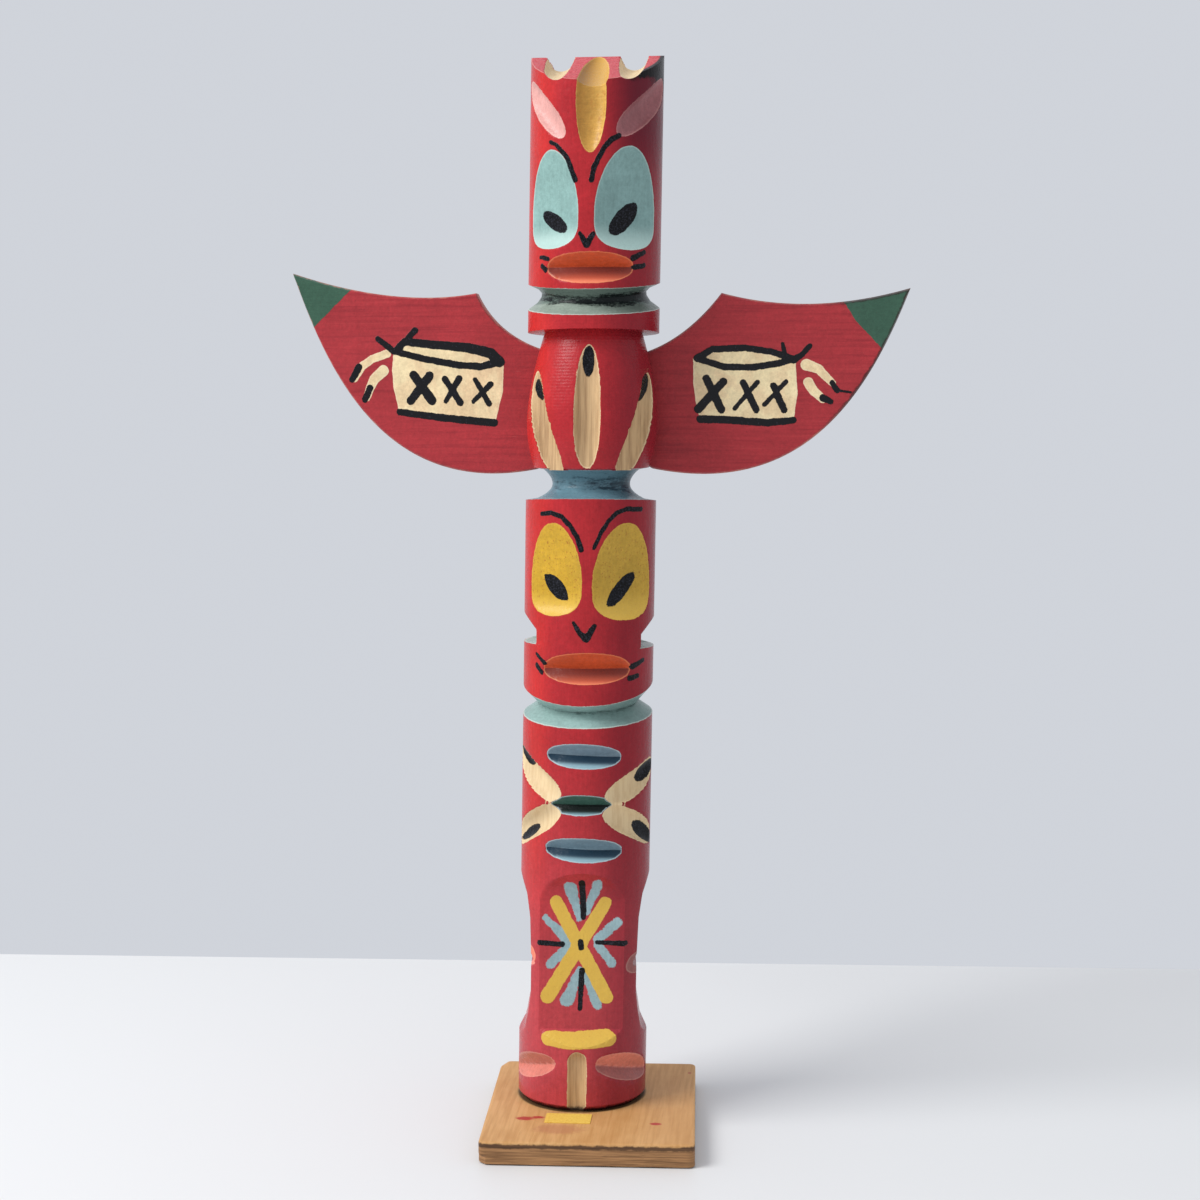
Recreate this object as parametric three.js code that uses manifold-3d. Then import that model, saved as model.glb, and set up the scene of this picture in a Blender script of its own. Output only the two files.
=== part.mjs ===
// Souvenir totem pole: a turned and gouged wooden dowel with two carved heads, a pair of
// wings sawn from one flat board and housed in the pole's back, and a small board to stand on.
//
// Millimetres, +Z up. The carved faces look along -Y and the wings spread along X. The origin is
// the centre of the foot board's underside. Heights of carving are counted from the top of the
// foot board, and directions round the pole are in degrees from the front, positive towards +X.

import * as THREE from 'three';
import { mergeVertices } from 'three/addons/utils/BufferGeometryUtils.js';
import Module from 'manifold-3d';

const wasm = await Module();
wasm.setup();

// ---------------------------------------------------------------- driving dimensions

const POLE_RADIUS = 19.05;          // a 1 1/2 inch dowel
const POLE_HEIGHT = 304.5;          // about 12 inches
const POLE_AT = { x: -4.1, y: 8.3 };
const POLE_LEAN = 0.91;             // degrees, towards +X
const GLUE_GAP = 0.3;               // between glued pieces
const SIDES = 56;                   // flats that stand for a round turning
const CLEAR = 3;                    // how far a cutter sticks out of the wood
const SIDE_CUTS_TURN = 5.5;         // the side cuts are a little out of square with the wings

const FOOT_BOARD = { width: 60.7, depth: 70.8, thickness: 6.35, turn: 2.7, corner: 1.8, worn: 0.6 };
const CLIPPED_CORNER = { side: 5, back: 2 }; // the sawn-off corner at the back left
const CORNER_CHIP = { along: 3.5, high: 2.6 };

const LABEL = { x: -5.5, y: -16.2, width: 13.2, depth: 7.6, thickness: 0.2, turn: 1 };

const FOOT_CHAMFER = { in: 1.2, high: 1.5 };
const CROWN_SLOPE = 0.5;            // the front half of the top falls this much per millimetre
const CROWN_GROOVE = { radius: 4, deep: 4, slope: 0.3, at: [-10.5, 10.6] };

// Turned grooves round the pole. An edge is [radius, height at the front, how much it climbs].
// A climbing edge lies in a plane that rises away from the front by that much per millimetre.
const NECK = {
  climb: 0.14,
  section: [[POLE_RADIUS, 237.6], [16.2, 236.4], [15.1, 235.2], [15.2, 234.0], [16.4, 232.2],
    [POLE_RADIUS, 230.3]],
};
const CHIN = {
  edge: [POLE_RADIUS, 119.4, 0.27],
  root: [14.5, 117.0, 0.08],
  shoulder: [POLE_RADIUS, 112.9, 0.12],
};
const BARREL = {
  top: 226.6,
  climb: -0.03,
  bulge: 200.5,
  bottom: 186.6,
  topRadius: 14,
  topCurve: 1.6,
  bottomRadius: 16.6,
};
const LOWER_COVE = {
  lip: 13.9,
  waist: 11.3,
  waistAt: 182.3,
  foot: 15.6,
  bottom: 178.7,
  climb: -0.058,
  step: 0.5,
};

// Shallow eye sockets, flat across: [direction, top, deepest, bottom, depth].
const EYES = [
  [-36, 276.5, 258.8, 248.9, 2.1],
  [35.8, 277.3, 258.9, 248.5, 2.75],
  [-28.5, 171.8, 154.8, 145.1, 2.15],
  [39, 171.8, 154.6, 143.9, 2.75],
];
const SOCKET_TOP = 1.8;             // how the floor of a socket curves up to its ends
const SOCKET_LIP = 3;

// V-shaped gouges along the round of the pole, blunt at both ends:
// [direction, height of the crease, half angle, above, below, depth, tilt].
const V_GOUGES = {
  upper_mouth: [1, 242.9, 40, 5.1, 3.8, 3.6, 0],
  lower_mouth: [4, 129.9, 41, 4.9, 4.3, 3.6, 0],
  upper_lozenge: [2.5, 104.8, 34.5, 3.7, 3.6, 2.7, -2],
  middle_lozenge: [1, 90.6, 28, 3.1, 3.0, 2.3, 0],
  lower_lozenge: [3.5, 77.4, 36, 3.7, 3.5, 2.7, -2],
  left_toe: [-50, 11.3, 31, 4.3, 3.4, 2.8, 13],
  right_toe: [50, 11.3, 33, 4.9, 3.5, 2.8, -13],
};
const LENS_BLUNTNESS = 0.36;        // 0.5 would be an ellipse

// Grooves made by pushing a round gouge straight through the curve of the wood:
// [direction, height, distance of the groove's floor from the pole's axis, tilt from level].
const GOUGE_RADIUS = 4;
const ROUND_GOUGES = {
  crown_left: [-47.5, 288.0, 17.1, -40],
  crown_right: [54, 288.6, 16.2, 35],
  leg_upper_left: [-50, 98.4, 15.9, -26],
  leg_upper_right: [55, 96.4, 15.9, 20],
  leg_lower_left: [-50, 83.6, 15.9, 26],
  leg_lower_right: [53, 83.9, 15.9, -24],
};

// Long straight strokes down the breast, each from a top end to a bottom end. An end is
// [direction, height, distance of the stroke's floor from the pole's axis].
const STROKE_RADIUS = 4.3;
const BREAST_STROKES = [
  [[-62, 214, 17.0], [-33, 187, 15.5]],
  [[1, 221.6, 15.3], [1, 187.5, 16.8]],
  [[70, 213, 17.0], [40, 187, 15.5]],
];

const FORELOCK = { direction: 0.5, height: 290, halfLength: 14.8, halfWidth: 4.3, depth: 2.4 };
const FOREHEAD = { direction: 1.2, halfLength: 21, halfWidth: 4.1, depth: 2.4 };

const APRON = { flat: 14.5, top: 70.8, straightTop: 61, ledgeTop: 23.6, ledgeBottom: 19.4, turn: 3 };
const FOOT_FLUTE = { radius: 3.4, depth: 1.7, top: 18.4, direction: 1 };

// Side cuts: [distance from the pole's middle, height]. The left jaw notch sits a little higher.
const JAW_NOTCH = [[20.5, 145.0], [19.05, 143.8], [17.2, 141.8], [15.1, 139.4], [15.1, 135.2], [20.5, 135.0]];
const JAW_NOTCH_LIFT = { left: 1.3, right: 0 };
const WAIST_CUT = [[21, 72.4], [18.6, 66.9], [16.9, 62.5], [15.9, 56], [15.5, 45.2], [14.1, 42.4],
  [15.45, 41.4], [15.45, 33.5], [16.0, 28.6], [17.1, 22.2], [18.2, 20.4], [20.5, 18.0]];

// Wings: corners of the outline and the handles of its curves, as [across, height].
const WING_THICKNESS = 6.35;
const WING_FRONT = 8.5;             // distance of the wings' front face behind the pole's middle
const WING_EDGE = 0.9;              // worn edges
const HOUSING = { bottom: 188.6, top: 220.6, halfWidth: 21, shoulder: 14 };
const WINGS = {
  left: {
    tip: [-90.6, 243.6], bow: [-60, 234.0], shoulder: [-36, 238.2], neck: [-30, 225.8],
    top: [-15.4, 221.4], bottom: [-17.2, 186.3], belly: [-63.5, 177.2], blade: [-81, 216],
  },
  right: {
    tip: [91.2, 237.6], bow: [62, 230.2], shoulder: [36.5, 237.9], neck: [27, 225.3],
    top: [15.2, 221.0], bottom: [17.1, 186.6], belly: [63, 177.4], blade: [80.5, 210],
  },
};

const PAINTS = {
  red: { color: 0xb3262c, roughness: 0.3 },
  wings: { color: 0xa8333a, roughness: 0.5 },
  stained: { color: 0xc99a5c, roughness: 0.7 },
  yellow: { color: 0xf0c53a, roughness: 0.6 },
};

// ---------------------------------------------------------------- solids from meshes

const rad = THREE.MathUtils.degToRad;

// A closed body whose faces point out, ready to be cut or joined.
function solid(geometry) {
  const bare = geometry.clone();
  bare.deleteAttribute('normal');
  bare.deleteAttribute('uv');
  const merged = mergeVertices(bare, 1e-4);
  const points = merged.attributes.position.array;
  const triangles = [];
  let volume = 0;
  const corner = (i) => new THREE.Vector3().fromArray(points, 3 * i);
  for (let t = 0; t < merged.index.count; t += 3) {
    const [a, b, c] = [0, 1, 2].map((k) => merged.index.getX(t + k));
    if (a === b || b === c || c === a) continue;
    volume += corner(a).dot(corner(b).cross(corner(c)));
    triangles.push([a, b, c]);
  }
  const outward = volume < 0 ? triangles.map(([a, b, c]) => [a, c, b]) : triangles;
  const mesh = new wasm.Mesh({
    numProp: 3,
    vertProperties: new Float32Array(points),
    triVerts: new Uint32Array(outward.flat()),
  });
  return new wasm.Manifold(mesh);
}

function geometryOf(body) {
  const mesh = body.getMesh();
  const geometry = new THREE.BufferGeometry();
  geometry.setAttribute('position', new THREE.BufferAttribute(mesh.vertProperties, 3));
  geometry.setIndex(new THREE.BufferAttribute(mesh.triVerts, 1));
  geometry.computeVertexNormals();
  return geometry;
}

// A piece of the object: its shape in its own named mesh.
function piece(name, geometry, paint) {
  const mesh = new THREE.Mesh(geometry, new THREE.MeshStandardMaterial({ ...paint, metalness: 0 }));
  mesh.name = name;
  return mesh;
}

// ---------------------------------------------------------------- cutters

// Turns a cutter made at the front (-Y) to its direction round the pole.
function facing(geometry, direction) {
  return geometry.rotateZ(rad(direction));
}

// A straight bar across the front. Its section is a loop of [distance in front of the axis, height].
function bar(section, length) {
  const shape = new THREE.Shape(section.map(([front, height]) => new THREE.Vector2(front, height)));
  const geometry = new THREE.ExtrudeGeometry(shape, { depth: length, bevelEnabled: false });
  geometry.translate(0, 0, -length / 2);
  const toFront = new THREE.Matrix4().makeBasis(
    new THREE.Vector3(0, -1, 0),
    new THREE.Vector3(0, 0, 1),
    new THREE.Vector3(-1, 0, 0),
  );
  return geometry.applyMatrix4(toFront);
}

// A ring cut round the pole. Every corner of its section is [radius, height at front, climb].
function ring(section) {
  const positions = [];
  const index = [];
  const corners = section.length;
  for (let side = 0; side < SIDES; side += 1) {
    const angle = (2 * Math.PI * side) / SIDES;
    for (const [radius, height, climb = 0] of section) {
      const lift = climb * POLE_RADIUS * (1 - Math.cos(angle));
      positions.push(radius * Math.sin(angle), -radius * Math.cos(angle), height + lift);
    }
    for (let k = 0; k < corners; k += 1) {
      const next = (k + 1) % corners;
      const here = side * corners;
      const there = ((side + 1) % SIDES) * corners;
      index.push(here + k, there + k, there + next, here + k, there + next, here + next);
    }
  }
  const geometry = new THREE.BufferGeometry();
  geometry.setAttribute('position', new THREE.Float32BufferAttribute(positions, 3));
  geometry.setIndex(index);
  return geometry;
}

// An eye socket: flat across, rising gently to a thin top and steeply to a full bottom lip.
function eyeSocket([direction, top, deepest, bottom, depth]) {
  const steps = 9;
  const floor = (share, power) => POLE_RADIUS - depth * (1 - share ** power);
  const section = [];
  for (let k = 0; k <= steps; k += 1) {
    const share = 1 - k / steps;
    section.push([floor(share, SOCKET_TOP), deepest + share * (top - deepest)]);
  }
  for (let k = 1; k <= steps; k += 1) {
    const share = k / steps;
    section.push([floor(share, SOCKET_LIP), deepest - share * (deepest - bottom)]);
  }
  section.push([POLE_RADIUS + CLEAR, bottom - 2], [POLE_RADIUS + CLEAR, top + 1]);
  return facing(bar(section, 2 * POLE_RADIUS), direction);
}

// A V-shaped gouge that follows the pole's round and leaves a blunt lens on it.
function vGouge([direction, crease, halfAngle, above, below, depth, tilt]) {
  const steps = 14;
  const outside = POLE_RADIUS + CLEAR;
  const positions = [];
  const index = [];
  for (let k = 0; k <= steps; k += 1) {
    const share = -Math.cos((Math.PI * k) / steps);
    const angle = rad(halfAngle * share);
    const bite = depth * (1 - share ** 2) ** LENS_BLUNTNESS;
    const climb = (CLEAR + bite) / depth;
    const height = crease + Math.tan(rad(tilt)) * POLE_RADIUS * angle;
    const corners = [
      [POLE_RADIUS - bite, height],
      [outside, height + above * climb],
      [outside, height - below * climb],
    ];
    corners.forEach(([radius, z]) => {
      positions.push(radius * Math.sin(angle), -radius * Math.cos(angle), z);
    });
    if (k === steps) continue;
    for (let corner = 0; corner < 3; corner += 1) {
      const [a, b] = [3 * k + corner, 3 * k + ((corner + 1) % 3)];
      index.push(a, b, b + 3, a, b + 3, a + 3);
    }
  }
  const end = 3 * steps;
  index.push(2, 1, 0, end, end + 1, end + 2);
  const geometry = new THREE.BufferGeometry();
  geometry.setAttribute('position', new THREE.Float32BufferAttribute(positions, 3));
  geometry.setIndex(index);
  return facing(geometry, direction);
}

// A straight groove from a round gouge.
function roundGouge([direction, height, floor, tilt]) {
  const body = new THREE.CylinderGeometry(GOUGE_RADIUS, GOUGE_RADIUS, 1.6 * POLE_RADIUS, 16);
  body.rotateZ(Math.PI / 2);
  body.rotateY(-rad(tilt));
  body.translate(0, -(floor + GOUGE_RADIUS), height);
  return facing(body, direction);
}

// A straight stroke of the same kind between two ends, run out a little past both.
function stroke(ends) {
  const [top, bottom] = ends.map(([direction, height, floor]) => {
    const reach = floor + STROKE_RADIUS;
    return new THREE.Vector3(reach * Math.sin(rad(direction)), -reach * Math.cos(rad(direction)), height);
  });
  const along = top.clone().sub(bottom);
  const body = new THREE.CylinderGeometry(STROKE_RADIUS, STROKE_RADIUS, along.length() + 2 * CLEAR, 18);
  const middle = top.clone().add(bottom).multiplyScalar(0.5);
  const turned = new THREE.Quaternion().setFromUnitVectors(new THREE.Vector3(0, 1, 0), along.normalize());
  return body.applyQuaternion(turned).translate(middle.x, middle.y, middle.z);
}

// The forelock: a long shallow egg sunk into the forehead, fading out at both ends.
function forelock({ direction, height = 0, halfLength, halfWidth, depth }) {
  const thick = 1.6 * depth;
  const drop = POLE_RADIUS - Math.sqrt(POLE_RADIUS ** 2 - halfWidth ** 2);
  const spread = (half, out) => half / Math.sqrt(1 - (out / thick) ** 2);
  const body = new THREE.SphereGeometry(1, 20, 14).rotateX(Math.PI / 2);
  const across = spread(halfWidth, thick - depth + drop);
  body.scale(across, thick, spread(halfLength, thick - depth));
  body.translate(0, -(POLE_RADIUS + thick - depth), height);
  return facing(body, direction);
}

// The flat apron cut into the front of the legs, with an arched top and a sloping ledge below.
function apron({ flat, top, straightTop, ledgeTop, ledgeBottom, turn }) {
  const steps = 8;
  const section = [];
  for (let k = 0; k <= steps; k += 1) {
    const share = 1 - k / steps;
    section.push([flat + (POLE_RADIUS - flat) * share ** 2, straightTop + share * (top - straightTop)]);
  }
  const slope = (ledgeTop - ledgeBottom) / (POLE_RADIUS - flat);
  section.push([flat, ledgeTop], [POLE_RADIUS + CLEAR, ledgeBottom - slope * CLEAR]);
  section.push([POLE_RADIUS + CLEAR, top + 1]);
  return facing(bar(section, 2 * POLE_RADIUS), turn);
}

// The round groove up the middle of the foot, with a domed top.
function footFlute({ radius, depth, top, direction }) {
  const steps = 8;
  const profile = [new THREE.Vector2(0, -CLEAR), new THREE.Vector2(radius, -CLEAR)];
  for (let k = 0; k <= steps; k += 1) {
    const angle = (Math.PI / 2) * (k / steps);
    profile.push(new THREE.Vector2(radius * Math.cos(angle), top - radius + radius * Math.sin(angle)));
  }
  const body = new THREE.LatheGeometry(profile, 20).rotateX(Math.PI / 2);
  body.translate(0, -(POLE_RADIUS + radius - depth), 0);
  return facing(body, direction);
}

// One of the two round grooves over the crown: it slopes to the front and runs level behind.
function crownGroove(x) {
  const { radius, deep, slope } = CROWN_GROOVE;
  const reach = POLE_RADIUS + CLEAR;
  const tilt = Math.atan(slope);
  const level = new THREE.CylinderGeometry(radius, radius, reach, 24);
  level.translate(0, reach / 2, 0);
  const sloping = new THREE.CylinderGeometry(radius, radius, reach * 1.1, 24);
  sloping.translate(0, -(reach * 1.1) / 2, 0);
  sloping.rotateX(tilt);
  const elbow = new THREE.SphereGeometry(radius, 24, 16).rotateZ(Math.PI / 2);
  const height = POLE_HEIGHT - deep + radius;
  return [level, sloping, elbow].map((part) => part.translate(x, 0, height));
}

// ---------------------------------------------------------------- the pole

function barrelSection() {
  const { top, climb: topClimb, bulge, bottom, topRadius, topCurve, bottomRadius } = BARREL;
  const { lip, waist, waistAt, foot, bottom: coveBottom, climb, step } = LOWER_COVE;
  const outside = POLE_RADIUS + CLEAR;
  const section = [[outside, top, topClimb], [topRadius, top, topClimb]];
  const steps = 7;
  for (let k = 1; k <= steps; k += 1) {
    const share = 1 - k / steps;
    const radius = POLE_RADIUS - (POLE_RADIUS - topRadius) * share ** topCurve;
    section.push([radius, bulge + share * (top - bulge)]);
  }
  for (let k = 1; k <= steps; k += 1) {
    const share = k / steps;
    const radius = POLE_RADIUS - (POLE_RADIUS - bottomRadius) * share ** 2;
    section.push([radius, bulge - share * (bulge - bottom)]);
  }
  for (let k = 0; k <= steps; k += 1) {
    const share = k / steps;
    section.push([waist + (lip - waist) * (1 - share) ** 2, bottom - share * (bottom - waistAt)]);
  }
  for (let k = 1; k <= steps; k += 1) {
    const share = k / steps;
    const height = waistAt - share * (waistAt - coveBottom - step);
    section.push([waist + (foot - waist) * share ** 2, height, climb * share]);
  }
  section.push([POLE_RADIUS, coveBottom, climb], [outside, coveBottom, climb]);
  return section;
}

function neckSection() {
  const { climb, section } = NECK;
  const [top, bottom] = [section.at(0)[1], section.at(-1)[1]];
  const outside = POLE_RADIUS + CLEAR;
  return [[outside, top], ...section, [outside, bottom]].map(([radius, height]) => [radius, height, climb]);
}

function chinSection() {
  const { edge, root, shoulder } = CHIN;
  const outside = POLE_RADIUS + CLEAR;
  return [[outside, edge[1], edge[2]], edge, root, shoulder, [outside, shoulder[1], shoulder[2]]];
}

function carvedPole() {
  const profile = [
    [0, GLUE_GAP], [POLE_RADIUS - FOOT_CHAMFER.in, GLUE_GAP],
    [POLE_RADIUS, GLUE_GAP + FOOT_CHAMFER.high], [POLE_RADIUS, POLE_HEIGHT], [0, POLE_HEIGHT],
  ].map(([radius, height]) => new THREE.Vector2(radius, height));
  const dowel = new THREE.LatheGeometry(profile, SIDES).rotateX(Math.PI / 2);

  const front = POLE_RADIUS + CLEAR;
  const crown = bar([
    [0, POLE_HEIGHT], [front, POLE_HEIGHT - CROWN_SLOPE * front],
    [front, POLE_HEIGHT + CLEAR], [-CLEAR, POLE_HEIGHT + CLEAR],
  ], 3 * POLE_RADIUS);
  const housing = new THREE.BoxGeometry(
    2 * HOUSING.halfWidth,
    POLE_RADIUS + CLEAR - WING_FRONT + GLUE_GAP,
    HOUSING.top - HOUSING.bottom + 2 * GLUE_GAP,
  );
  housing.translate(
    0,
    (POLE_RADIUS + CLEAR + WING_FRONT - GLUE_GAP) / 2,
    (HOUSING.top + HOUSING.bottom) / 2,
  );
  const forehead = forelock(FOREHEAD);
  forehead.translate(0, POLE_RADIUS, 0);
  forehead.rotateX(-(Math.PI / 2 - Math.atan(CROWN_SLOPE)));
  forehead.translate(0, -POLE_RADIUS, POLE_HEIGHT - CROWN_SLOPE * POLE_RADIUS);

  const sides = [-90, 90].map((direction) => direction + SIDE_CUTS_TURN);
  const across = 2.2 * POLE_RADIUS;
  const jaw = [JAW_NOTCH_LIFT.left, JAW_NOTCH_LIFT.right].map((lift) => (
    bar(JAW_NOTCH.map(([reach, height]) => [reach, height + lift]), across)
  ));

  const cutters = [
    crown,
    housing,
    forehead,
    forelock(FORELOCK),
    ...CROWN_GROOVE.at.flatMap(crownGroove),
    ring(neckSection()),
    ring(barrelSection()),
    ring(chinSection()),
    ...EYES.map(eyeSocket),
    ...Object.values(V_GOUGES).map(vGouge),
    ...Object.values(ROUND_GOUGES).map(roundGouge),
    ...BREAST_STROKES.map(stroke),
    ...jaw.map((cutter, side) => facing(cutter, sides[side])),
    ...sides.map((direction) => facing(bar(WAIST_CUT, across), direction)),
    apron(APRON),
    footFlute(FOOT_FLUTE),
  ];
  const carved = cutters.reduce((wood, cutter) => wood.subtract(solid(cutter)), solid(dowel));
  return geometryOf(carved);
}

// ---------------------------------------------------------------- the wings

// The outline goes over the top from the left tip to the right tip and back underneath.
function wingOutline() {
  const { left, right } = WINGS;
  const shape = new THREE.Shape();
  shape.moveTo(...left.tip);
  shape.quadraticCurveTo(...left.bow, ...left.shoulder);
  shape.quadraticCurveTo(...left.neck, ...left.top);
  shape.lineTo(-HOUSING.shoulder, HOUSING.top);
  shape.lineTo(HOUSING.shoulder, HOUSING.top);
  shape.lineTo(...right.top);
  shape.quadraticCurveTo(...right.neck, ...right.shoulder);
  shape.quadraticCurveTo(...right.bow, ...right.tip);
  shape.bezierCurveTo(...right.blade, ...right.belly, ...right.bottom);
  shape.lineTo(HOUSING.shoulder, HOUSING.bottom);
  shape.lineTo(-HOUSING.shoulder, HOUSING.bottom);
  shape.lineTo(...left.bottom);
  shape.bezierCurveTo(...left.belly, ...left.blade, ...left.tip);
  return shape;
}

function wingBoard() {
  const geometry = new THREE.ExtrudeGeometry(wingOutline(), {
    depth: WING_THICKNESS - 2 * WING_EDGE,
    curveSegments: 14,
    bevelEnabled: true,
    bevelThickness: WING_EDGE,
    bevelSize: WING_EDGE * 0.6,
    bevelOffset: -WING_EDGE * 0.6,
    bevelSegments: 1,
  });
  geometry.rotateX(Math.PI / 2);
  geometry.translate(0, WING_FRONT + WING_THICKNESS - WING_EDGE, 0);
  return geometryOf(solid(geometry));
}

// ---------------------------------------------------------------- the foot board and label

function footBoard() {
  const { width, depth, thickness, corner, worn } = FOOT_BOARD;
  const x = width / 2;
  const y = depth / 2;
  const shape = new THREE.Shape();
  shape.moveTo(-x + corner, -y);
  shape.lineTo(x - corner, -y);
  shape.absarc(x - corner, -y + corner, corner, -Math.PI / 2, 0);
  shape.lineTo(x, y - corner);
  shape.absarc(x - corner, y - corner, corner, 0, Math.PI / 2);
  shape.lineTo(-x + CLIPPED_CORNER.back, y);
  shape.lineTo(-x, y - CLIPPED_CORNER.side);
  shape.lineTo(-x, -y + corner);
  shape.absarc(-x + corner, -y + corner, corner, Math.PI, 1.5 * Math.PI);
  const board = new THREE.ExtrudeGeometry(shape, {
    depth: thickness - worn,
    curveSegments: 4,
    bevelEnabled: true,
    bevelThickness: worn,
    bevelSize: worn,
    bevelOffset: -worn,
    bevelSegments: 1,
  });
  const flatBottom = new THREE.BoxGeometry(2 * width, 2 * depth, 2 * worn).translate(0, 0, -worn);
  const chip = new THREE.BoxGeometry(2 * CORNER_CHIP.along, 2 * CORNER_CHIP.along, 2 * CORNER_CHIP.high);
  chip.rotateZ(Math.PI / 4);
  chip.translate(-x - CORNER_CHIP.along * 0.4, -y - CORNER_CHIP.along * 0.4, 0);
  return geometryOf(solid(board).subtract(solid(flatBottom)).subtract(solid(chip)));
}

// ---------------------------------------------------------------- put together

const lean = new THREE.Matrix4().makeShear(0, 0, 0, 0, Math.tan(rad(POLE_LEAN)), 0);

// Pole and wings stand on the foot board and lean together.
function standing(geometry) {
  return geometry.applyMatrix4(lean).translate(POLE_AT.x, POLE_AT.y, FOOT_BOARD.thickness);
}

const board = piece('foot_board', footBoard(), PAINTS.stained);
board.rotation.z = rad(FOOT_BOARD.turn);

const labelShape = new THREE.BoxGeometry(LABEL.width, LABEL.depth, LABEL.thickness);
const label = piece('blank_label', labelShape, PAINTS.yellow);
label.position.set(LABEL.x, LABEL.y, FOOT_BOARD.thickness + LABEL.thickness / 2 + 0.02);
label.rotation.z = rad(LABEL.turn);

const totemPole = new THREE.Group();
totemPole.add(
  board,
  piece('carved_pole', standing(carvedPole()), PAINTS.red),
  piece('wing_board', standing(wingBoard()), PAINTS.wings),
  label,
);

export default totemPole;
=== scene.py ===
# %% [markdown]
# # A souvenir totem pole
# A round dowel, turned and gouged into two stacked heads, with a flat pair of wings let into its
# back, standing on a small stained board. The solids already have the shape of every cut. What is
# made here is what a brush and forty years on a shelf add: thick gloss enamel with soft edges,
# brush-drawn brows and drums, raw wood in the gouges, dirt and painted shade in the grooves and a
# worn plywood foot. Some shade, shadows and highlights of the side light are painted in as well.
#
# Everything is worked out in millimetres in the carver's own frame (the pole's axis, heights from
# the top of the foot board) and is moved to its place in the shared frame at the very end.

# %% Load the imported solids as the fixed frame
import math

import bpy
import numpy as np
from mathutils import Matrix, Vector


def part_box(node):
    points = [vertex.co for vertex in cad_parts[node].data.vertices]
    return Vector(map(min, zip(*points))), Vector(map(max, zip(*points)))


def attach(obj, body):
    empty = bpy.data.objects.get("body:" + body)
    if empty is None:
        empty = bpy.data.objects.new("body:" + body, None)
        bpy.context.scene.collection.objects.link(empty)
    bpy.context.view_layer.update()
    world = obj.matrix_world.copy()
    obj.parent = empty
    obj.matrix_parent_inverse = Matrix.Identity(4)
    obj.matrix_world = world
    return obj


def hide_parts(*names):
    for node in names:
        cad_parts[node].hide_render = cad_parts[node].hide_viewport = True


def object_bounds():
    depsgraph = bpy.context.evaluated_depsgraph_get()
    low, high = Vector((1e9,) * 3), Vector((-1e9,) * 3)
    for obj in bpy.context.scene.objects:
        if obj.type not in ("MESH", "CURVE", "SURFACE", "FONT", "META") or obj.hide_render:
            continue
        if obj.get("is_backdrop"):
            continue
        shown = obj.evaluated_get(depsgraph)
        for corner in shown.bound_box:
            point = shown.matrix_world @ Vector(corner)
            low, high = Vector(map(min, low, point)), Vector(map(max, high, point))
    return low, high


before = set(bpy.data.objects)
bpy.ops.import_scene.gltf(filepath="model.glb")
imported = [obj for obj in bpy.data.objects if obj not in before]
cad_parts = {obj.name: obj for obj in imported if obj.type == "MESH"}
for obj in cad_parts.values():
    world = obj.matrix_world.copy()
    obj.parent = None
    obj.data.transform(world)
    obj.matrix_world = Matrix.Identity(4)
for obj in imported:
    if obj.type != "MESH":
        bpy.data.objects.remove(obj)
cad_low, cad_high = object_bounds()
MM = 0.001


def node_box(node):
    """Lowest and highest corner of a solid, in millimetres."""
    low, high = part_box(node)
    return np.array(low) / MM, np.array(high) / MM


_, board_high = node_box("foot_board")
pole_low, pole_high = node_box("carved_pole")
wing_low, wing_high = node_box("wing_board")
label_low, label_high = node_box("blank_label")

BOARD_TOP = board_high[2]
RADIUS = (pole_high[1] - pole_low[1]) / 2
TALL = pole_high[2] - BOARD_TOP
CHAMFER = {"in": 1.2, "high": 1.5}
GLUE_GAP = 0.3
LEAN = (pole_high[0] - pole_low[0] - 2 * RADIUS) / (TALL - GLUE_GAP - CHAMFER["high"])
AXIS_X = pole_low[0] + RADIUS - LEAN * (GLUE_GAP + CHAMFER["high"])
AXIS_Y = (pole_low[1] + pole_high[1]) / 2
lean_angle = math.degrees(math.atan(LEAN))
print(f"pole radius {RADIUS:.2f} mm, height {TALL:.1f} mm, leaning {lean_angle:.2f} degrees")

# %% [markdown]
# ## From the carver's frame to the shared one
# The pole leans a little to one side on its board. The lean is a shear: a point moves sideways in
# proportion to its height, so turned rings stay level and every cut keeps its place.


# %% Place points of the pole in the shared frame
def standing(x, y, z):
    """Points of the pole or wings, in metres: sheared by the lean, set on the board."""
    return np.stack([AXIS_X + x + LEAN * z, AXIS_Y + y, BOARD_TOP + z], -1) * MM


# %% [markdown]
# ## The tools that made the cuts
# Each cut in the pole is one stroke of a straight tool, so each has a short formula. Seen from the
# pole's axis in direction phi at height z, a tool's wall is at some distance, and the wood ends at
# the nearest wall. That makes the carved pole one surface over (phi, z), with no booleans.

# %% Walls of flat, V-shaped and round tools, as distances from the pole's axis
FAR = 60.0
TINY = 1e-9


def wrapped(angle):
    """An angle in degrees brought to between -180 and 180."""
    return (angle + 180) % 360 - 180


def flat_wall(phi, floor, direction):
    """A cut straight across: its floor's distance divided by the cosine of the angle off it."""
    cosine, least = np.cos(np.radians(phi - direction)), 0.12
    return np.where(cosine > least, floor / np.maximum(cosine, least), FAR)


def eye_floor(z, top, deepest, bottom, depth):
    """The floor of an eye socket: a gentle curve up to its top, a steep one to its bottom lip."""
    up = np.maximum((z - deepest) / (top - deepest), 0)
    down = np.maximum((deepest - z) / (deepest - bottom), 0)
    return RADIUS - depth * (1 - up**1.8 - down**4)


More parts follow.
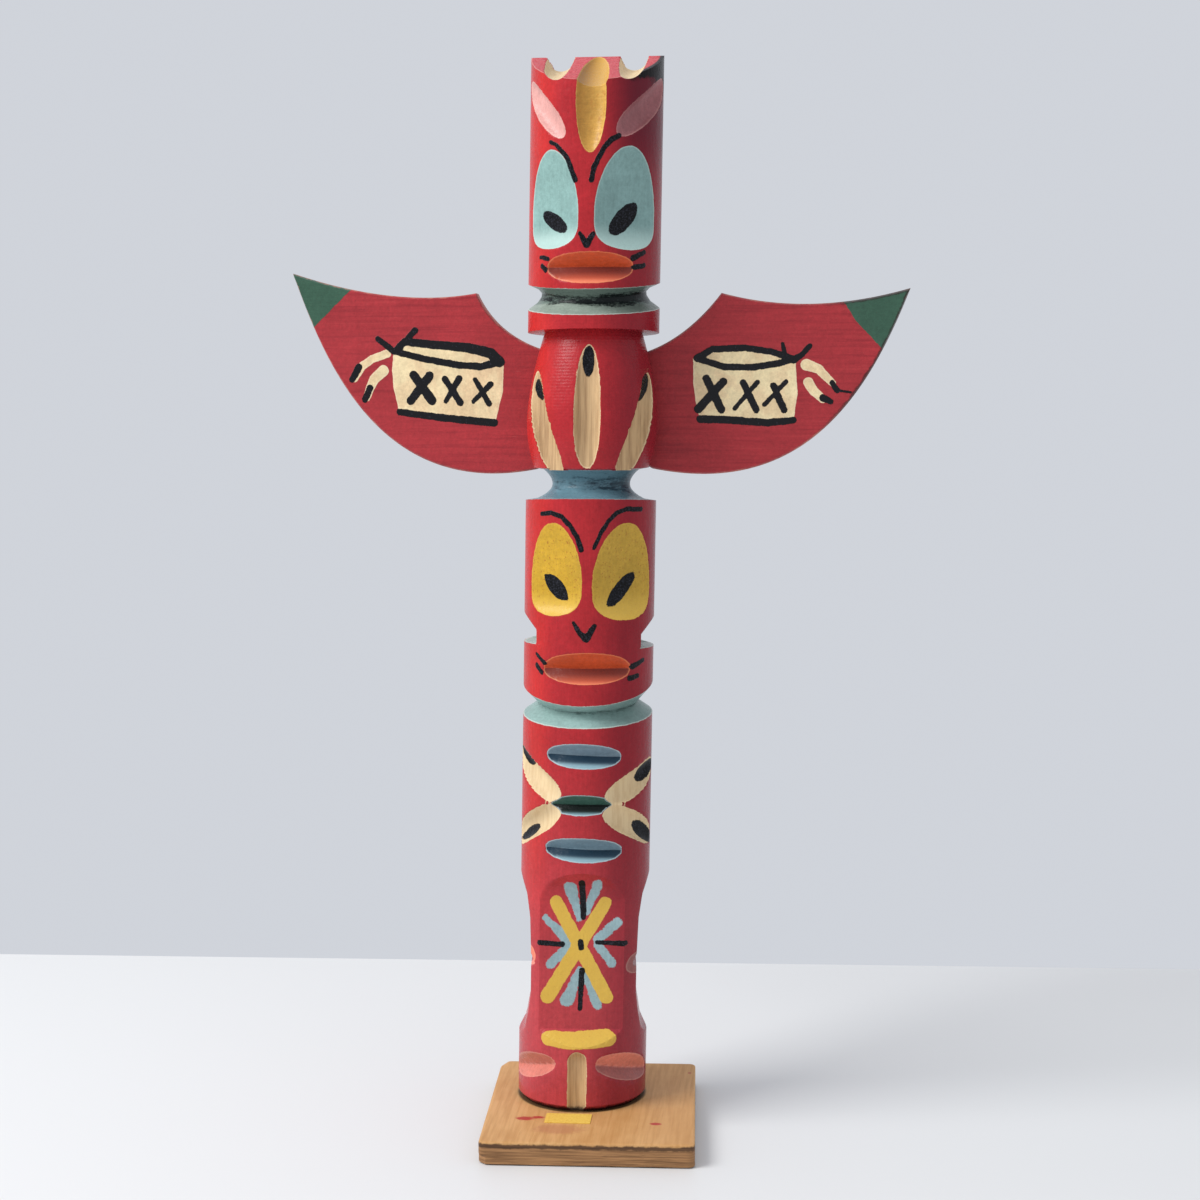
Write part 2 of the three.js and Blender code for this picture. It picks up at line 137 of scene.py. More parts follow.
def v_wall(phi, z, direction, crease, half_angle, above, below, depth, tilt):
    """A V gouge round the pole: two slopes meet at the crease, which dies away at blunt ends."""
    angle = wrapped(phi - direction)
    left = 1 - (angle / half_angle) ** 2
    bite = depth * np.sign(left) * np.abs(left) ** 0.44
    height = crease + math.tan(math.radians(tilt)) * RADIUS * np.radians(angle)
    rise = np.where(z > height, (z - height) / above, (height - z) / below)
    return np.where(np.abs(angle) < 100, RADIUS - bite + depth * rise, FAR)


def round_tool(centre, rows):
    """A round tool: p is on its wall where the rows' dot products with (p - centre) have length 1."""
    return np.array(centre, float), np.array(rows, float)


def near_wall(tool, start, heading, least):
    """Distance along heading to the tool's near wall: the smaller root of a quadratic in t.
    A line that just misses the tool gets a distance carried on from the tool's edge, and no
    less than least, so that the edge itself can be found."""
    centre, rows = tool
    a = np.tensordot(rows, heading, 1)
    b = np.tensordot(rows, start - centre.reshape(3, *[1] * (start.ndim - 1)), 1)
    aa, ab, bb = (a * a).sum(0), (a * b).sum(0), (b * b).sum(0) - 1
    left = ab * ab - aa * bb
    wall = (-ab - np.sign(left) * np.sqrt(np.abs(left))) / np.maximum(aa, TINY)
    return np.where(wall < 0, FAR, np.where(left < 0, np.maximum(wall, least), wall))


def round_wall(phi, z, tool, direction, low=-FAR, high=400):
    """A round tool's wall as seen from the axis, on its own side of the pole and near its own height."""
    start = np.stack([0 * z, 0 * z, z])
    heading = np.stack([np.sin(np.radians(phi)), -np.cos(np.radians(phi)), 0 * z])
    wall = near_wall(tool, start, heading, 1.08 * RADIUS)
    near = (np.cos(np.radians(phi - direction)) > 0.15) & (z > low) & (z < high)
    return np.where(near, wall, FAR)


def outward(direction, distance, height):
    """The point at that distance from the axis, in that direction."""
    angle = math.radians(direction)
    return np.array([distance * math.sin(angle), -distance * math.cos(angle), height])


def gouge(start, end, radius):
    """A straight round gouge between two points: a cylinder, so two rows across its length."""
    along = (end - start) / np.linalg.norm(end - start)
    across = np.cross(along, [0.3, 0.5, 0.8])
    across /= np.linalg.norm(across)
    return round_tool(start, np.array([across, np.cross(along, across)]) / radius)


# %% [markdown]
# ## What the carver cut
# The same named sizes as the solids: directions are degrees from the front, heights are in
# millimetres above the foot board. Eye sockets are scooped flat across, mouths and lozenges are
# V cuts, and the leaves, brow feathers and breast strokes are single pushes of a round gouge.

# %% The turned grooves and every gouge
NECK = [(RADIUS, 237.6), (16.2, 236.4), (15.1, 235.2), (15.2, 234.0), (16.4, 232.2), (RADIUS, 230.3)]
NECK_CLIMB = 0.14
CHIN = [(RADIUS, 119.4, 0.27), (14.5, 117.0, 0.08), (RADIUS, 112.9, 0.12)]
BARREL = {"top": 226.6, "climb": -0.03, "bulge": 200.5, "bottom": 186.6, "in_top": 14.0, "in_bottom": 16.6}
COVE = {"lip": 13.9, "waist": 11.3, "waist_at": 182.3, "foot": 15.6, "bottom": 178.7, "climb": -0.058}
HOUSING = {"bottom": 188.3, "top": 220.9, "floor": 8.2}
SHELF = 0.02

EYES = {
    "upper_left": (-36, 276.5, 258.8, 248.9, 2.1),
    "upper_right": (35.8, 277.3, 258.9, 248.5, 2.75),
    "lower_left": (-28.5, 171.8, 154.8, 145.1, 2.15),
    "lower_right": (39, 171.8, 154.6, 143.9, 2.75),
}
V_CUTS = {
    "upper_mouth": (1, 243.9, 40, 4.1, 4.8, 3.6, 0),
    "lower_mouth": (4, 129.9, 41, 4.9, 4.3, 3.6, 0),
    "upper_lozenge": (2.5, 104.8, 34.5, 3.7, 3.6, 2.7, -2),
    "middle_lozenge": (1, 90.6, 28, 3.1, 3.0, 2.3, 0),
    "lower_lozenge": (3.5, 77.4, 36, 3.7, 3.5, 2.7, -2),
    "left_toe": (-50, 11.3, 31, 4.3, 3.4, 2.8, 13),
    "right_toe": (50, 11.3, 33, 4.9, 3.5, 2.8, -13),
}
GOUGE_RADIUS = 4.0
LEAF_REACH = 14
LEAVES = {
    "crown_left": (-47.5, 288.0, 17.1, -40),
    "crown_right": (54, 288.6, 16.2, 35),
    "leg_upper_left": (-50, 98.4, 15.9, -26),
    "leg_upper_right": (55, 96.4, 15.9, 20),
    "leg_lower_left": (-50, 83.6, 15.9, 26),
    "leg_lower_right": (53, 83.9, 15.9, -24),
}
STROKE_RADIUS = 4.3
STROKE_REACH = 3
BREAST = {
    "breast_left": ((-62, 214, 17.0), (-33, 187, 15.5)),
    "breast_middle": ((1, 221.6, 15.3), (1, 187.5, 16.8)),
    "breast_right": ((70, 213, 17.0), (40, 187, 15.5)),
}
FORELOCK = {"direction": 0.5, "height": 290, "half_length": 14.8, "half_width": 4.3, "depth": 2.4}
FOREHEAD = {"direction": 1.2, "height": 0, "half_length": 21, "half_width": 4.1, "depth": 2.4}
APRON = {"flat": 14.5, "top": 70.8, "straight_top": 61, "ledge_top": 23.6, "ledge_bottom": 19.4, "turn": 3}
FLUTE = {"radius": 3.4, "depth": 1.7, "top": 18.4, "direction": 1}
SIDE_TURN = 5.5
JAW = [(20.5, 135.0), (15.1, 135.2), (15.1, 139.4), (17.2, 141.8), (19.05, 143.8), (20.5, 145.0)]
JAW_LIFT = {-90: 1.3, 90: 0.0}
WAIST = [(20.5, 18.0), (18.2, 20.4), (17.1, 22.2), (16.0, 28.6), (15.45, 33.5), (15.45, 41.4),
         (14.1, 42.4), (15.5, 45.2), (15.9, 56), (16.9, 62.5), (18.6, 66.9), (21, 72.4)]
CROWN_SLOPE = 0.5
CROWN_DEEP = 30.0
CROWN_GROOVES = {"radius": 4.0, "deep": 4.0, "slope": 0.3, "at": (-10.5, 10.6)}

# %% [markdown]
# ## Turned work
# A lathe leaves rings. Two of the rings here aren't level: the neck and the chin were cut with the
# tool at a slant, so their edges climb towards the back of the head.


# %% The lathe's cuts, as distances from the axis
def lift(phi):
    """How far behind the front edge a point of the rim is, in millimetres."""
    return RADIUS * (1 - np.cos(np.radians(phi)))


def dowel(phi, z):
    """The plain dowel with its foot a little narrowed."""
    return RADIUS - CHAMFER["in"] * np.clip((GLUE_GAP + CHAMFER["high"] - z) / CHAMFER["high"], 0, 1)


def ring(phi, z, corners):
    """The radius runs straight from corner to corner and on past both ends, out of the wood.
    Each corner rises with the slant it has."""
    behind = lift(phi)
    radius = RADIUS + z - (corners[0][1] + corners[0][2] * behind)
    for (r0, z0, c0), (r1, z1, c1) in zip(corners[:-1], corners[1:]):
        high, low = z0 + c0 * behind, z1 + c1 * behind
        radius = np.where(z <= high, r0 + (r1 - r0) * (high - z) / (high - low), radius)
    return np.where(z < low, RADIUS + low - z, radius)


def barrel(phi, z):
    """The round chest: its radius falls by powers of the height above and below its widest place."""
    up = np.clip((z - BARREL["bulge"]) / (BARREL["top"] - BARREL["bulge"]), 0, 1)
    down = np.clip((BARREL["bulge"] - z) / (BARREL["bulge"] - BARREL["bottom"]), 0, 1)
    chest = RADIUS - (RADIUS - BARREL["in_top"]) * up**1.6 - (RADIUS - BARREL["in_bottom"]) * down**2
    top = BARREL["top"] + BARREL["climb"] * lift(phi)
    return np.where((z < top) & (z >= BARREL["bottom"]), chest - 0.001, FAR)


def cove(phi, z):
    """The hollow under the chest: narrowing, then swelling with the square of the height to an edge."""
    foot = COVE["bottom"] + 0.5 + COVE["climb"] * lift(phi)
    under = np.clip((BARREL["bottom"] - z) / (BARREL["bottom"] - COVE["waist_at"]), 0, 1)
    swell = np.clip((COVE["waist_at"] - z) / (COVE["waist_at"] - foot), 0, 1)
    radius = COVE["waist"] + (COVE["lip"] - COVE["waist"]) * (1 - under) ** 2
    radius = radius + (COVE["foot"] - COVE["waist"]) * swell**2
    radius = radius + (RADIUS - COVE["foot"]) / 0.5 * np.maximum(foot - z, 0)
    return np.where(z < BARREL["bottom"], radius, FAR)


# %% [markdown]
# ## All the cuts together
# Every cut goes into one dictionary of functions of (phi, z). The forelock is an egg-shaped dip:
# a ball stretched along the face and pressed in until only its belly bites.


# %% Eggs for the forelock and every other wall by name
def egg(direction, height, half_length, half_width, depth):
    """A stretched ball outside the pole whose near side bites to that depth."""
    thick = 1.6 * depth
    drop = RADIUS - math.sqrt(RADIUS**2 - half_width**2)
    across = half_width / math.sqrt(1 - ((thick - depth + drop) / thick) ** 2)
    high = half_length / math.sqrt(1 - ((thick - depth) / thick) ** 2)
    side = np.array([math.cos(math.radians(direction)), math.sin(math.radians(direction)), 0])
    out = outward(direction, 1, 0)
    centre = outward(direction, RADIUS + thick - depth, height)
    return round_tool(centre, [side / across, out / thick, np.array([0, 0, 1]) / high])


def tipped_egg():
    """The forelock's upper half, laid back on the sloping crown about the crown's front edge."""
    centre, rows = egg(**FOREHEAD)
    back = -(math.pi / 2 - math.atan(CROWN_SLOPE))
    turn = np.array([[1, 0, 0], [0, math.cos(back), -math.sin(back)], [0, math.sin(back), math.cos(back)]])
    front_edge = np.array([0, -RADIUS, TALL - CROWN_SLOPE * RADIUS])
    return round_tool(turn @ (centre + [0, RADIUS, 0]) + front_edge, rows @ turn.T)


forehead_egg = tipped_egg()
forelock_egg = egg(**FORELOCK)


def apron_floor(z):
    """Flat, then curving out to an arch above and down a sloping ledge below."""
    above = np.maximum((z - APRON["straight_top"]) / (APRON["top"] - APRON["straight_top"]), 0)
    slope = (RADIUS - APRON["flat"]) / (APRON["ledge_top"] - APRON["ledge_bottom"])
    below = np.maximum(APRON["ledge_top"] - z, 0) * slope
    return APRON["flat"] + (RADIUS - APRON["flat"]) * above**2 + below


def flute_wall(phi, z):
    """The groove up the foot: a round gouge below, a ball for its domed top."""
    reach = RADIUS + FLUTE["radius"] - FLUTE["depth"]
    dome = FLUTE["top"] - FLUTE["radius"]
    foot, above = (outward(FLUTE["direction"], reach, height) for height in (0, 1))
    shaft = gouge(foot, above, FLUTE["radius"])
    ball = round_tool(outward(FLUTE["direction"], reach, dome), np.eye(3) / FLUTE["radius"])
    low = round_wall(phi, z, shaft, FLUTE["direction"])
    return np.where(z < dome, low, round_wall(phi, z, ball, FLUTE["direction"]))


def leaf_tool(direction, height, floor, tilt):
    """A round gouge pushed level or at a tilt, straight across the direction it faces."""
    middle = outward(direction, floor + GOUGE_RADIUS, height)
    level = math.radians(direction)
    rise = math.radians(tilt)
    along = np.array([math.cos(rise) * math.cos(level), math.cos(rise) * math.sin(level), math.sin(rise)])
    return gouge(middle, middle + along, GOUGE_RADIUS)


cuts = {
    "neck": lambda phi, z: ring(phi, z, [(r, h, NECK_CLIMB) for r, h in NECK]),
    "chin": lambda phi, z: ring(phi, z, CHIN),
    "barrel": barrel,
    "cove": cove,
    "forelock": lambda phi, z: round_wall(phi, z, forelock_egg, 0, 268),
    "forehead": lambda phi, z: round_wall(phi, z, forehead_egg, 0, 284),
    "apron": lambda phi, z: flat_wall(phi, apron_floor(z), APRON["turn"]),
    "flute": flute_wall,
}
for name, (direction, *eye) in EYES.items():
    cuts["eye_" + name] = lambda phi, z, d=direction, e=eye: flat_wall(phi, eye_floor(z, *e), d)
for name, v_cut in V_CUTS.items():
    cuts[name] = lambda phi, z, v=v_cut: v_wall(phi, z, *v)
for name, leaf in LEAVES.items():
    span = (leaf[1] - LEAF_REACH, leaf[1] + LEAF_REACH)
    cuts[name] = lambda phi, z, t=leaf_tool(*leaf), d=leaf[0], s=span: round_wall(phi, z, t, d, *s)
for name, ends in BREAST.items():
    top, bottom = [outward(d, floor + STROKE_RADIUS, h) for d, h, floor in ends]
    tool = gouge(top, bottom, STROKE_RADIUS)
    span = (ends[1][1] - STROKE_REACH, ends[0][1] + STROKE_REACH)
    cuts[name] = lambda phi, z, t=tool, d=(ends[0][0] + ends[1][0]) / 2, s=span: round_wall(phi, z, t, d, *s)
for side, raised in JAW_LIFT.items():
    for name, profile, up in (("jaw", JAW, raised), ("waist", WAIST, 0)):
        reach, height = np.array(profile).T
        cuts[f"{name}_{side}"] = lambda phi, z, s=side, r=reach, h=height + up: flat_wall(
            phi, np.interp(z, h, r), s + SIDE_TURN)
cuts["housing"] = lambda phi, z: np.where(
    (z > HOUSING["bottom"]) & (z < HOUSING["top"]), flat_wall(phi, HOUSING["floor"], 180), FAR
)
print(len(cuts), "cuts:", ", ".join(cuts))


def walls(phi, z):
    """The dowel and every cut's wall, stacked; the wood ends at the nearest of them."""
    return np.stack([dowel(phi, z)] + [np.broadcast_to(cut(phi, z), z.shape) for cut in cuts.values()])


# %% [markdown]
# ## The crown
# The top is flat behind, falls to the front at one in two, and has two round grooves run over it.
# Here the surface is a height over (x, y), again the lowest of a few simple ones.


# %% Heights of the crown
def crown_heights(x, y):
    """Flat top, sloping front, the two grooves and the forelock's upper end, stacked."""
    layers = [np.full(np.shape(x), TALL), TALL + CROWN_SLOPE * y]
    for at in CROWN_GROOVES["at"]:
        size = CROWN_GROOVES["radius"]
        middle = TALL - CROWN_GROOVES["deep"] + size - CROWN_GROOVES["slope"] * np.maximum(-y, 0)
        left = size**2 - (x - at) ** 2
        layers.append(middle - np.sign(left) * np.sqrt(np.abs(left)) * (1 + 0.044 * np.clip(-y, 0, 1)))
    start = np.stack([x, y, np.full(np.shape(x), TALL - CROWN_DEEP)])
    up = np.stack([0 * x, 0 * x, 0 * x + 1])
    layers.append(TALL - CROWN_DEEP + near_wall(forehead_egg, start, up, CROWN_DEEP + 1))
    return np.stack(layers)


def crown(x, y):
    """The crown's height: the lowest layer."""
    return crown_heights(x, y).min(0)


# %% [markdown]
# ## A grid that knows where the edges are
# A carved edge looks crisp only if the mesh has points on it. First the rows of the grid follow the
# turned rings. Then every grid line that crosses from one cut to another gets its nearest point
# slid along the line to the crossing, which is found by how far the two walls differ at both ends.


# %% Rows, columns and the slide onto edges
FACES = [(245.5, 283), (131.5, 175)]


def row_heights(step=0.76, fine=0.5):
    """Rows as (height at the front, climb), closer on the faces. Rows fall on every ring's corner."""
    marks = [(GLUE_GAP, 0), (GLUE_GAP + CHAMFER["high"], 0), (APRON["ledge_top"], 0)]
    marks += [(h, 0) for r, h in WAIST[5:8]]
    marks += [(h + raised, 0) for raised in JAW_LIFT.values() for r, h in JAW[:3]]
    marks += [(V_CUTS["middle_lozenge"][1], 0), (CHIN[2][1], CHIN[2][2]), (CHIN[1][1], CHIN[1][2])]
    marks += [(CHIN[0][1], CHIN[0][2]), (V_CUTS["lower_mouth"][1], 0.03), (V_CUTS["upper_mouth"][1], 0.03)]
    marks += [(COVE["bottom"], COVE["climb"]), (COVE["bottom"] + 0.5, COVE["climb"]), (COVE["waist_at"], 0)]
    for shelf, climb in ((BARREL["bottom"], 0), (BARREL["top"], BARREL["climb"])):
        marks += [(shelf - SHELF, climb), (shelf + SHELF, climb)]
    for shelf in (HOUSING["bottom"], HOUSING["top"]):
        marks += [(shelf - SHELF, 0), (shelf + SHELF, 0)]
    marks += [(h, NECK_CLIMB) for r, h in NECK] + [(272.0, 0)]
    marks += [(height, 0) for face in FACES for height in face]
    marks = sorted(marks)
    rows = [marks[0]]
    for (z0, c0), (z1, c1) in zip(marks[:-1], marks[1:]):
        face = any(low <= (z0 + z1) / 2 <= high for low, high in FACES)
        count = max(1, math.ceil((z1 - z0) / (fine if face else step)))
        rows += [(z0 + (z1 - z0) * k / count, c0 + (c1 - c0) * k / count) for k in range(1, count + 1)]
    return np.array(rows)


def column_angles(front=142, back=34, edge=105):
    """Directions round the pole, close together on the carved side."""
    ahead = np.linspace(-edge, edge, front + 1)
    behind = np.linspace(edge, 360 - edge, back + 1)[1:-1]
    return wrapped(np.concatenate([ahead, behind]))


def pick(stack, which):
    """Takes the layer that is asked for at each point of a stack of grids."""
    return np.take_along_axis(stack, which[None], 0)[0]


def slide(a, b, layers, size, turn=None):
    """Moves grid points onto the crossings of the lowest layers. a and b are the grid's two
    coordinates, size(a, b, da, db) is a small step in millimetres, and turn is a's full turn."""
    stack = layers(a, b)
    lowest = stack.argmin(0)
    best = np.full(a.shape, np.inf)
    move_a, move_b = np.zeros(a.shape), np.zeros(a.shape)
    for axis in (0, 1):
        there = np.roll(lowest, -1, axis)
        beyond = np.roll(stack, -1, axis + 1)
        start = pick(stack, lowest) - pick(stack, there)
        end = pick(beyond, lowest) - pick(beyond, there)
        share = np.where(lowest != there, start / np.minimum(start - end, -TINY), 2)
        step_a = np.roll(a, -1, axis) - a
        step_b = np.roll(b, -1, axis) - b
        if turn:
            step_a = (step_a + turn / 2) % turn - turn / 2
        if axis == 0:
            share[-1] = 2
        for back in (0, 1):
            nearest = (share > 0.5) & (share <= 1) if back else share <= 0.5
            part = np.where(nearest, share - back, np.nan)
            da, db = np.roll(part * step_a, back, axis), np.roll(part * step_b, back, axis)
            cost = np.nan_to_num(size(a, b, da, db), nan=np.inf)
            better = cost < best
            best = np.where(better, cost, best)
            move_a = np.where(better, da, move_a)
            move_b = np.where(better, db, move_b)
    return a + move_a, b + move_b


# %% [markdown]
# ## The carved surface
# The rim of the crown isn't level, so the last rows of the side are stretched up to it.
# The crown itself is a fan of rings that shrink from the rim to the middle.

# %% Work out the pole's points
RIM_DEEP, RIM_STEPS = 24, 320
RIM_ROWS, CAP_RINGS = 44, 34
rows = row_heights()
columns = column_angles()
phi = np.broadcast_to(columns, (len(rows), len(columns))).copy()
z = rows[:, :1] + rows[:, 1:] * lift(phi)


def around(radius, angle):
    """x and y of a point at that radius and direction."""
    return radius * np.sin(np.radians(angle)), -radius * np.cos(np.radians(angle))


def rim_height(angle):
    """Where the side meets the crown: the first of many heights that is above the crown."""
    heights = np.linspace(TALL - RIM_DEEP, TALL, RIM_STEPS).reshape(-1, *[1] * np.ndim(angle))
    radius = walls(*np.broadcast_arrays(angle, heights)).min(0)
    gap = heights - crown(*around(radius, angle))
    after = np.argmax(gap > -TINY, 0)
    low, high = pick(gap, after - 1), pick(gap, after)
    share = np.clip(-low / np.maximum(high - low, TINY), 0, 1)
    return TALL - RIM_DEEP + (after - 1 + share) * RIM_DEEP / (RIM_STEPS - 1)


rim_angle = columns[None]
for _ in range(3):
    rim_angle = slide(
        rim_angle, 0 * rim_angle,
        lambda a, b: crown_heights(*around(walls(a, rim_height(a)).min(0), a)),
        lambda a, b, da, db: np.abs(da) * RADIUS, 360)[0]
rim_z = rim_height(rim_angle)
shares = np.linspace(0, 1, RIM_ROWS + 1)[1:, None]
blend = np.clip((shares - 0.8) / 0.2, 0, 1)
top_phi = columns + blend * wrapped(rim_angle - columns)
top_z = z[-1] + shares * (rim_z - z[-1])
phi, z = np.vstack([phi, top_phi]), np.vstack([z, top_z])


def side_size(a, b, da, db):
    """Millimetres moved on the side of the pole."""
    return np.hypot(np.radians(da) * RADIUS, db)


for _ in range(2):
    new_phi, new_z = slide(phi, z, walls, side_size, 360)
    keep = np.ones(len(phi), bool)
    keep[[0, -1]] = False
    phi[keep], z[keep] = wrapped(new_phi)[keep], new_z[keep]
side_walls = walls(phi, z)
radius = side_walls.min(0)
x, y = around(radius, phi)
print("side of the pole:", x.shape, "points")

# %% The crown's rings
shrink = np.linspace(1, 0, CAP_RINGS + 1)[:-1, None]
cap_x, cap_y = shrink * x[-1], shrink * y[-1]
for _ in range(2):
    new_x, new_y = slide(cap_x, cap_y, crown_heights, lambda a, b, da, db: np.hypot(da, db))
    cap_x[1:], cap_y[1:] = new_x[1:], new_y[1:]
cap_z = crown(cap_x, cap_y)
cap_z[0] = z[-1]
print("crown:", cap_x.shape, "points")


# %% [markdown]
# ## Loops into a mesh
# Every piece here is a stack of closed loops with a point at each end: the pole's rings, the
# foot board's outlines, the sections of the wings. One helper turns loops into a closed mesh whose
# faces point outwards, and stores the painted patterns as numbers on its points.


# %% Build a mesh from loops
def loft(name, loops, first, last, fields=(), sharp=38):
    """Quads between neighbouring loops and a fan at both ends. loops is (loops, points, xyz) in metres,
    and fields maps a name to one value for each loop point, plus the two end points."""
    count, around_count = loops.shape[:2]
    points = np.vstack([loops.reshape(-1, 3), first, last])
    k = np.arange(count * around_count).reshape(count, around_count)
    right = np.roll(k, -1, 1)
    quads = np.stack([k[:-1], right[:-1], right[1:], k[1:]], -1).reshape(-1, 4)
    a, b = count * around_count, count * around_count + 1
    bottom = np.stack([right[0], k[0], np.full(around_count, a)], -1)
    top = np.stack([k[-1], right[-1], np.full(around_count, b)], -1)
    centre = points.mean(0)
    corners = points[quads] - centre
    volume = np.einsum("ij,ij->", corners[:, 0], np.cross(corners[:, 1], corners[:, 2]))
    faces = [quads, bottom, top]
    if volume < 0:
        faces = [face[:, ::-1] for face in faces]
    mesh = bpy.data.meshes.new(name)
    mesh.vertices.add(len(points))
    mesh.vertices.foreach_set("co", points.astype(np.float32).ravel())
    sizes = np.concatenate([np.full(len(face), face.shape[1]) for face in faces])
    corners = np.concatenate([face.ravel() for face in faces])
    mesh.loops.add(len(corners))
    mesh.loops.foreach_set("vertex_index", corners.astype(np.int32))
    mesh.polygons.add(len(sizes))
    mesh.polygons.foreach_set("loop_start", (np.cumsum(sizes) - sizes).astype(np.int32))
    mesh.update(calc_edges=True)
    mesh.validate()
    mesh.polygons.foreach_set("use_smooth", np.ones(len(mesh.polygons), bool))
    mesh.set_sharp_from_angle(angle=math.radians(sharp))
    for field, values in dict(fields).items():
        attribute = mesh.attributes.new(field, "FLOAT", "POINT")
        attribute.data.foreach_set("value", np.asarray(values, np.float32).ravel())
    piece = bpy.data.objects.new(name, mesh)
    bpy.context.scene.collection.objects.link(piece)
    print(f"{name}: {sum(sizes - 2)} triangles, volume {'turned' if volume < 0 else 'kept'}")
    return piece


# %% [markdown]
# ## Where the paint goes
# Most colours fill one cut and stop at its edge. The distance to that edge, in millimetres, is kept
# as a number on every point of the mesh, positive inside. The material later turns each number into
# a coat of paint whose edge wobbles like a brushed one. Lines and dots, the brows and the star,
# are distances too: half a stroke's width less the distance to its middle line.

# %% Distances to the edges of the cuts
NOWHERE, DEEPEST = -3.0, 9.0
CLEAR = 12
SIDE_NAMES = ["dowel"] + list(cuts)
CROWN_NAMES = ["flat", "slope", "left_groove", "right_groove", "forehead"]


def step_lengths(values, points, axis):
    """Change of the values per millimetre along one direction of a grid of points."""
    ahead, behind = np.roll(values, -1, axis), np.roll(values, 1, axis)
    there, here = np.roll(points, -1, axis), np.roll(points, 1, axis)
    if axis == 0:
        ahead[-1], behind[0], there[-1], here[0] = values[-1], values[0], points[-1], points[0]
    return (ahead - behind) / np.maximum(np.linalg.norm(there - here, axis=-1), 0.05)


def inside(names, stack, points, *wanted):
    """Millimetres from the edge of the wood that the wanted cuts leave bare, positive inside.
    The walls' difference is zero at the edge; over its slope along the surface, it is a distance."""
    mine = np.isin(names, wanted)
    gap = np.clip(stack[~mine].min(0) - stack[mine].min(0), -CLEAR, CLEAR)
    slope = np.hypot(step_lengths(gap, points, 0), step_lengths(gap, points, 1))
    return np.clip(gap / np.maximum(slope, 0.25), NOWHERE, DEEPEST)


side_points = np.stack([x, y, z], -1)
crown_points = np.stack([cap_x, cap_y, cap_z], -1)
crown_walls = crown_heights(cap_x, cap_y)


def side(*wanted):
    """Distance inside the named cuts on the side of the pole."""
    return inside(SIDE_NAMES, side_walls, side_points, *wanted)


def top(*wanted):
    """Distance inside the named layers on the crown."""
    return inside(CROWN_NAMES, crown_walls, crown_points, *wanted)


# %% Strokes and dabs of a brush
def stroke(u, v, line, start, end=None):
    """Half the stroke's width less the distance to a line of straight pieces. The width runs from
    start to end along the line."""
    end = start if end is None else end
    pieces = len(line) - 1
    best = np.full(np.shape(u), NOWHERE)
    for k, (a, b) in enumerate(zip(line[:-1], line[1:])):
        du, dv = b[0] - a[0], b[1] - a[1]
        share = np.clip(((u - a[0]) * du + (v - a[1]) * dv) / (du * du + dv * dv), 0, 1)
        width = start + (end - start) * (k + share) / pieces
        best = np.maximum(best, width / 2 - np.hypot(u - a[0] - share * du, v - a[1] - share * dv))
    return best


def dab(u, v, ends, sides):
    """An oval through two ends and two sides: every point is a sum of the two half axes, and the
    oval is where the two shares' squares add up to one."""
    (a, b), (c, d) = np.array(ends, float), np.array(sides, float)
    centre = (a + b + c + d) / 4
    first, second = (b - a) / 2, (d - c) / 2
    area = first[0] * second[1] - first[1] * second[0]
    p = ((u - centre[0]) * second[1] - (v - centre[1]) * second[0]) / area
    q = ((v - centre[1]) * first[0] - (u - centre[0]) * first[1]) / area
    return np.maximum((1 - np.hypot(p, q)) * min(np.hypot(*first), np.hypot(*second)), NOWHERE)


def leaf_shape(u, v, start, end, width):
    """Pointed at both ends: half the width times one less a power of the share along it."""
    du, dv = end[0] - start[0], end[1] - start[1]
    length = math.hypot(du, dv)
    along = ((u - start[0]) * du + (v - start[1]) * dv) / length
    off = np.abs((u - start[0]) * dv - (v - start[1]) * du) / length
    share = 2 * along / length - 1
    return np.clip(width / 2 * (1 - np.abs(share) ** 2.4) - off, NOWHERE, DEEPEST)


# %% [markdown]
# ## The painter's marks
# Directions are in degrees round the pole, heights in millimetres. Brows, nose and whiskers are
# quick strokes of a pointed brush dipped in black; each eye has a slanted pupil; the leaves and
# breast feathers have black tips; the apron has a star of crossed strokes.

# %% Marks on the faces and legs
FACE_STROKES = [
    ([(-37, 278.6), (-31, 277.8), (-26, 276.2), (-20, 274.2), (-17, 271.8), (-12, 267.6)], 1.2, 1.6),
    ([(25, 279.9), (18, 278.7), (12, 276.4), (8, 273.8), (4, 271.3), (2, 267.6)], 1.6, 1.5),
    ([(-7.4, 253.0), (-1.4, 249.8)], 1.1, 2.1), ([(-1.4, 249.8), (4.0, 252.8)], 2.1, 1.4),
    ([(-48, 246.9), (-38, 246.2)], 1.3, 1.4),
    ([(-46, 244.4), (-41, 243.2)], 1.5, 1.7),
    ([(40, 246.3), (53, 248.2)], 1.8, 1.3),
    ([(42, 243.8), (53, 244.5)], 1.6, 1.4),
    ([(-42, 174.2), (-31, 174.6), (-20, 173.6), (-12, 171), (-6, 168), (-2, 164.3)], 1.3, 1.6),
    ([(55, 175.5), (38, 175.7), (28, 174.7), (21, 172.3), (15, 169.3), (9, 164.8)], 1.4, 1.2),
    ([(-8, 143.4), (-2, 140.3), (3.4, 138.8)], 1.0, 2.2), ([(3.4, 138.8), (10, 142.5)], 2.2, 1.5),
    ([(-47, 133.9), (-36, 131.4)], 1.0, 1.4),
    ([(-46, 130.6), (-39, 128.6)], 1.5, 1.5),
    ([(47, 130.3), (62, 131.8)], 1.8, 1.3),
    ([(44, 127.0), (54, 127.5)], 1.7, 1.5),
]
